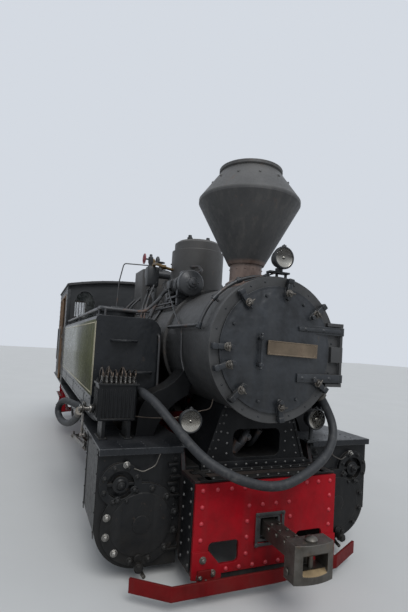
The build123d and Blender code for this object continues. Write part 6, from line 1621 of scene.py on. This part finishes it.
def backhead_fittings(body, shiny, glass_tubes, dials, red_bits):
    """Manifold with its valves and handwheels, gauge glasses, try cocks, and gauges with blank dials."""
    face = BACKHEAD_X
    pipe_x, pipe_z, valve_ys = face + 0.10, 2.135, (-0.26, -0.13, 0.13, 0.26)
    body.rod((pipe_x, -0.30, pipe_z), (pipe_x, 0.30, pipe_z), 0.038, 24)
    body.rod((pipe_x, 0, 2.03), (pipe_x, 0, pipe_z), 0.045, 24)
    valve = (
        (0, 0.024), (0.05, 0.024), (0.052, 0.032), (0.075, 0.032), (0.078, 0.010), (0.14, 0.010),
        (0.142, 0),
    )
    shiny.turned((face + 0.065, valve_ys, pipe_z), BACK, valve, 20)
    red_bits.wheel((face - 0.075, valve_ys, pipe_z), BACK, 0.046, 0.006)
    for y, low in ((-0.26, 0.90), (0.26, 0.90), (-0.13, 1.30), (0.13, 1.75)):
        bend_y, foot_y = math.copysign(0.50, y), math.copysign(0.53, y)
        way = (0.02, y, 2.10), (0.0, y * 1.3, 1.98), (-0.03, bend_y, 1.86), (-0.03, foot_y, low)
        shiny.pipe([(face + dx, *place) for dx, *place in way], 0.013, 10, 0.06)
    cock = (
        (0, 0.030), (0.010, 0.030), (0.012, 0.018), (0.045, 0.018), (0.050, 0.024), (0.085, 0.024),
        (0.088, 0),
    )
    cock_zs, tube_x = (1.62, 1.86), face - 0.066
    for _ in both_sides():
        shiny.turned((face, 0.20, cock_zs), BACK, cock, 20)
        shiny.rod((tube_x, 0.20, cock_zs), (tube_x, 0.27, cock_zs), 0.006, 8)
        glass_tubes.rod((tube_x, 0.20, cock_zs[0]), (tube_x, 0.20, cock_zs[1]), 0.009, 14)
        body.slab((face - 0.084, pairs(0.20, 0.026), 1.74), (0.028, 0.006, 0.20), 0.001)
    for i in range(3):
        try_cock = (0, 0.020), (0.06, 0.016), (0.065, 0.022), (0.085, 0.022), (0.087, 0)
        shiny.turned((face, -0.36 + 0.02 * i, 1.58 + 0.09 * i), BACK, try_cock, 16)
    for y, radius, z in ((-0.17, 0.085, 2.275), (0.15, 0.060, 2.26)):
        centre, edge = Vector((face + 0.03, y, z)), radius * 0.94
        case = (-0.045, 0), (-0.045, radius * 0.9), (0.0, radius * 0.92), (0.004, radius)
        body.turned(centre, BACK, case, 36)
        rim = (0.0, radius), (0.014, radius), (0.018, edge), (0.010, radius * 0.88)
        shiny.turned(centre, BACK, rim, 36)
        dials.turned(centre, BACK, ((0.006, edge), (0.0065, 0)), 36)
        needle = (0.006, 0.0), (0.0, -0.012), (-radius * 0.62, radius * 0.35)
        body.plate([centre + Vector((-0.0085, *tip)) for tip in needle], BACK, 0.0015)
        body.turned(centre, BACK, ((0.0066, 0.012), (0.013, 0.010), (0.014, 0)), 16)
        tail = centre + Vector((0.02, 0, -radius)), centre + Vector((0.05, 0.02, -radius - 0.03))
        shiny.pipe([*tail, (pipe_x, y, 2.17)], 0.006, 8, 0.02)


def control_details(body, shiny):
    """Reversing lever in its notched quadrant, right; hand brake column, left; driver's brake valve."""
    lever_y = -0.80
    for y in pairs(lever_y, 0.018):
        rings = []
        for angle in row(60, 3.75, 17):
            (x0, z0), (x1, z1) = polar(0.52, angle), polar(0.565, angle)
            section = (x0, -0.004, z0), (x0, 0.004, z0), (x1, 0.004, z1), (x1, -0.004, z1)
            rings.append([(-1.55 + dx, y + dy, 0.78 + dz) for dx, dy, dz in section])
        body.loft(rings)
    body.slab(((-1.30, -1.80), lever_y, (PLATE_Z + 1.27) / 2), (0.04, 0.06, 1.27 - PLATE_Z), 0.004)
    body.rod((-1.52, lever_y, 0.90), (-1.40, lever_y, 1.72), 0.014, 12)
    grip = (-0.13, 0.014), (-0.12, 0.018), (-0.01, 0.020), (0.0, 0.012), (0.002, 0)
    shiny.turned((-1.40, lever_y, 1.72), (0.145, 0, 0.99), grip, 16)
    body.pipe([(-1.425, lever_y, 1.58), (-1.385, lever_y, 1.62), (-1.365, lever_y, 1.69)], 0.006, 8, 0.01)
    foot, column = ((0, 0.08), (0.012, 0.08), (0.02, 0.045), (0.05, 0.035)), ((0.66, 0.026), (0.68, 0.035))
    body.turned((-1.35, 0.86, PLATE_Z), UP, (*foot, *column, (0.72, 0.035), (0.73, 0)), 24)
    body.wheel((-1.35, 0.86, 1.62), UP, 0.14, 0.010)
    crank = (0, 0.010), (0.01, 0.014), (0.09, 0.016), (0.10, 0.008), (0.101, 0)
    shiny.turned((-1.35, 0.99, 1.62), UP, crank, 14)
    valve = (0, 0.03), (0.05, 0.04), (0.10, 0.045), (0.11, 0.02), (0.15, 0.018), (0.152, 0)
    shiny.turned((-1.02, -0.70, 1.50), UP, valve, 22)
    shiny.pipe([(-1.02, -0.70, 1.645), (-1.12, -0.66, 1.655), (-1.19, -0.63, 1.65)], 0.009, 10, 0.02)
    body.box((-1.06, -0.74, 1.44), (-0.87, -0.66, 1.50), 0.008)
    shiny.pipe([(-1.02, -0.70, 1.50), (-1.02, -0.70, 0.90)], 0.014, 12)


def cab_inside():
    body, shiny, glass_tubes, dials, red_bits = Form(), Form(), Form(), Form(), Form()
    backhead_shell(body, shiny)
    backhead_fittings(body, shiny, glass_tubes, dials, red_bits)
    control_details(body, shiny)
    body.piece("backhead_fittings", greasy_black)
    shiny.piece("backhead_brass", brass, "worn_steel")
    glass_tubes.piece("gauge_glasses", lamp_glass, "lamp_enamel")
    dials.piece("gauge_dials", dial_white, "lamp_enamel")
    red_bits.piece("cab_handwheels", valve_red, "red_paint")
    planks, pads = Form(), Form()
    for y in row(-1.00, 0.1429, 14):
        front = -1.125 if abs(y + 0.069) < 0.60 else -0.885
        planks.box((-2.45, y + 0.002, PLATE_Z + 0.0005), (front, y + 0.139, PLATE_Z + 0.022))
    for _ in both_sides():
        planks.box((-2.45, 0.66, 1.33), (-2.05, 1.05, 1.36), 0.006)
        planks.slab((-2.27, (0.70, 1.02), 1.115), (0.34, 0.04, 0.43), 0.004)
        pads.box((-2.44, 0.67, 1.36), (-2.06, 1.04, 1.42), 0.022, 4)
        planks.box((-1.86, 1.045, 1.70), (-2.38, 1.062, 1.735), 0.006)
    planks.box((-2.45, -0.45, 0.892), (-2.12, 0.45, 1.26), 0.006)
    planks.box((-2.455, -0.47, 1.26), (-2.10, 0.47, 1.285), 0.006)
    planks.piece("cab_boards", wood)
    pads.piece("seat_pads", leather, "black_paint")


# Bunker: rivets, top and foot strips, corner rails, rungs, and the rear lamps' brackets and wires
def bunker_details():
    rivets, strips, steel = Form(), Form(), Form()
    back, top_z, rail_x = REAR_BEAM_X + 0.020, 1.893, -2.62
    seam_zs, rise_zs = (0.905, 1.845), row(0.98, 0.09, 10)
    for _ in both_sides():
        rivets.rivet((row(back + 0.045, 0.0895, 8), BUNKER_HALF, seam_zs), OUT, 0.009)
        rivets.rivet(((back + 0.035, -2.515), BUNKER_HALF, rise_zs), OUT, 0.009)
        rivets.rivet((back, 1.005, rise_zs), BACK, 0.009)
        strips.rod((back, BUNKER_HALF, top_z), (-2.49, BUNKER_HALF, top_z), 0.014, 14)
        strips.box((back - 0.003, 1.0405, 0.872), (-2.49, 1.047, 0.892), 0.002)
        steel.pipe([
            (back, 0.93, 1.10), (back - 0.05, 0.93, 1.12), (back - 0.05, 0.93, 1.74), (back, 0.93, 1.76),
        ], 0.012, 12, 0.03)
        way = (
            (BUNKER_HALF, 1.15), (BUNKER_HALF + 0.045, 1.16), (BUNKER_HALF + 0.045, 1.72),
            (BUNKER_HALF, 1.73),
        )
        steel.pipe([(rail_x, *place) for place in way], 0.012, 12, 0.03)
        strips.box((back - 0.004, 0.322, 0.88), (back, 0.378, 1.87), 0.0015)
        rivets.rivet((back - 0.004, 0.35, row(0.96, 0.10, 9)), BACK, 0.008)
        steel.slab((back - 0.0525, 0.62, 1.351), (0.105, 0.012, 0.042), 0.002)
        steel.bolt((-3.265, 0.62, 1.387), UP, 0.013, 0.012)
        wire_y = 0.62 * 0.88
        way = (-3.19, 0.62 * 0.9, 1.44), (back - 0.004, wire_y, 1.36), (back - 0.005, wire_y, 0.90)
        steel.pipe([(-3.215, 0.62, 1.50), *way], 0.005, 8, 0.03)
    rung_zs, rung_x = (1.02, 1.27, 1.52, 1.77), back - 0.085
    for z in rung_zs:
        way = (back, -0.16, z), (rung_x, -0.16, z), (rung_x, 0.16, z), (back, 0.16, z)
        steel.pipe(way, 0.011, 12, 0.02)
    steel.turned((back, (-0.16, 0.16), rung_zs), BACK, ((0, 0.024), (0.005, 0.024), (0.007, 0.012)), 14)
    rivets.rivet((back, row(-0.98, 1.96 / 23, 24), seam_zs), BACK, 0.009)
    strips.rod((back, -BUNKER_HALF, top_z), (back, BUNKER_HALF, top_z), 0.014, 14)
    rivets.piece("bunker_rivets", black)
    strips.piece("bunker_strips", black)
    steel.piece("rear_rails", rail_steel, "worn_steel")


# What hangs on the rear beam: brake and steam-heat pipes with short hoses, safety-chain eyes
def rear_beam_details():
    hoses, ends = Form(), Form()
    bush = (
        (0, 0.036), (0.012, 0.036), (0.014, 0.026), (0.045, 0.026), (0.05, 0.030), (0.07, 0.030),
        (0.072, 0.022),
    )
    union = (-0.03, 0.022), (-0.03, 0.029), (0.012, 0.029), (0.03, 0.024), (0.045, 0.030), (0.05, 0)
    eye = (0, 0.030), (0.010, 0.030), (0.012, 0.014), (0.05, 0.014), (0.052, 0)
    way = (
        (-0.004, 0.33, 0.60), (-0.06, 0.33, 0.60), (-0.10, 0.33, 0.54), (-0.11, 0.34, 0.36),
        (-0.07, 0.36, 0.30),
    )
    for _ in both_sides():
        hoses.pipe([(REAR_BEAM_X + dx, y, z) for dx, y, z in way], 0.020, 14, 0.05)
        ends.turned((REAR_BEAM_X, 0.33, 0.60), BACK, bush, 18)
        ends.turned((REAR_BEAM_X - 0.062, 0.365, 0.288), (0.75, 0.1, -0.5), union, 18)
        ends.bolt((REAR_BEAM_X + 0.065, 0.708, (0.70, 0.78)), OUT, 0.012, 0.010)
        ends.turned((REAR_BEAM_X, 0.25, 0.52), BACK, eye, 16)
        hoop = [polar(0.026, angle) for angle in row(90, -22.5, 17)]
        ends.pipe([(REAR_BEAM_X - 0.045, 0.25 + dy, 0.495 + dz) for dy, dz in hoop], 0.006, 8, 0.001)
    hoses.piece("rear_hoses", rubber, "hose_rubber")
    ends.piece("rear_unions", worn_steel, "worn_steel")


# Running plates: edge and strip rivets, and screws beside the smokebox
def plate_details():
    form = Form()
    for _ in both_sides():
        form.rivet((row(-0.78, 0.165, 23), HALF_WIDTH, 0.845), OUT, 0.0065)
        form.rivet((row(-0.76, 0.16, 20), HALF_WIDTH, (1.015, 1.095)), OUT, 0.0065)
        form.slab(((-0.1, 0.9, 1.9), HALF_WIDTH + 0.00075, 1.055), (0.04, 0.0035, 0.120), 0.001)
        form.rivet((row(2.76, 0.062, 4), (0.62, 0.78, 0.94), PLATE_Z), UP, 0.006)
    form.piece("plate_rivets", deck_paint, "black_paint")


for details in (
    beam_details, saddle_details, cylinder_details, smokebox_details, boiler_details, lamp_details,
    tank_details, lubricator_details, generator_details, boiler_pipes, turret_details, top_details,
    steam_valve_details, chimney_details, coupler_details, wheel_details, rod_details, gear_details,
    frame_details, brake_details, low_pipes, window_details, cab_details, roof_details, cab_inside,
    bunker_details, rear_beam_details, plate_details,
):
    details()

# Plain floor, soft studio light
FLOOR_HALF = 60
floor_mesh = bpy.data.meshes.new("floor")
floor_corners = [(-FLOOR_HALF, -FLOOR_HALF, 0), (FLOOR_HALF, -FLOOR_HALF, 0), (FLOOR_HALF, FLOOR_HALF, 0)]
floor_mesh.from_pydata([*floor_corners, (-FLOOR_HALF, FLOOR_HALF, 0)], [], [(0, 1, 2, 3)])
floor = link(bpy.data.objects.new("floor", floor_mesh))
floor_paint = Paint("floor_paint")
floor_colour = floor_paint.mix(floor_paint.noise(0.8), (0.50, 0.50, 0.49), (0.56, 0.56, 0.55))
floor_paint.set(Base_Color=floor_colour, Roughness=0.8)
floor_mesh.materials.append(floor_paint.data)

bpy.context.scene.view_settings.view_transform = "Standard"
world = bpy.data.worlds.new("studio")
world.use_nodes = True
bpy.context.scene.world = world
# Camera, glossy and transmitted rays see a pale backdrop; the light on the object is a little lower
SEEN_SKY, LIGHT_SKY = (0.66, 0.70, 0.76, 1), (0.52, 0.565, 0.625, 1)
sky_nodes, sky_links = world.node_tree.nodes, world.node_tree.links
rays = sky_nodes.new("ShaderNodeLightPath")
seen = rays.outputs["Is Camera Ray"]
for kind in ("Is Glossy Ray", "Is Transmission Ray"):
    either = sky_nodes.new("ShaderNodeMath")
    either.operation = "MAXIMUM"
    sky_links.new(seen, either.inputs[0])
    sky_links.new(rays.outputs[kind], either.inputs[1])
    seen = either.outputs[0]
sky = sky_nodes.new("ShaderNodeMix")
sky.data_type = "RGBA"
sky.inputs[6].default_value = LIGHT_SKY
sky.inputs[7].default_value = SEEN_SKY
sky_links.new(seen, sky.inputs[0])
sky_links.new(sky.outputs[2], sky_nodes["Background"].inputs[0])
sun = bpy.data.lights.new("sun", "SUN")
sun.energy = 1.75
sun.angle = 0.6
sun_object = link(bpy.data.objects.new("sun", sun))
sun_object.rotation_euler = (math.radians(38), math.radians(20), math.radians(60))
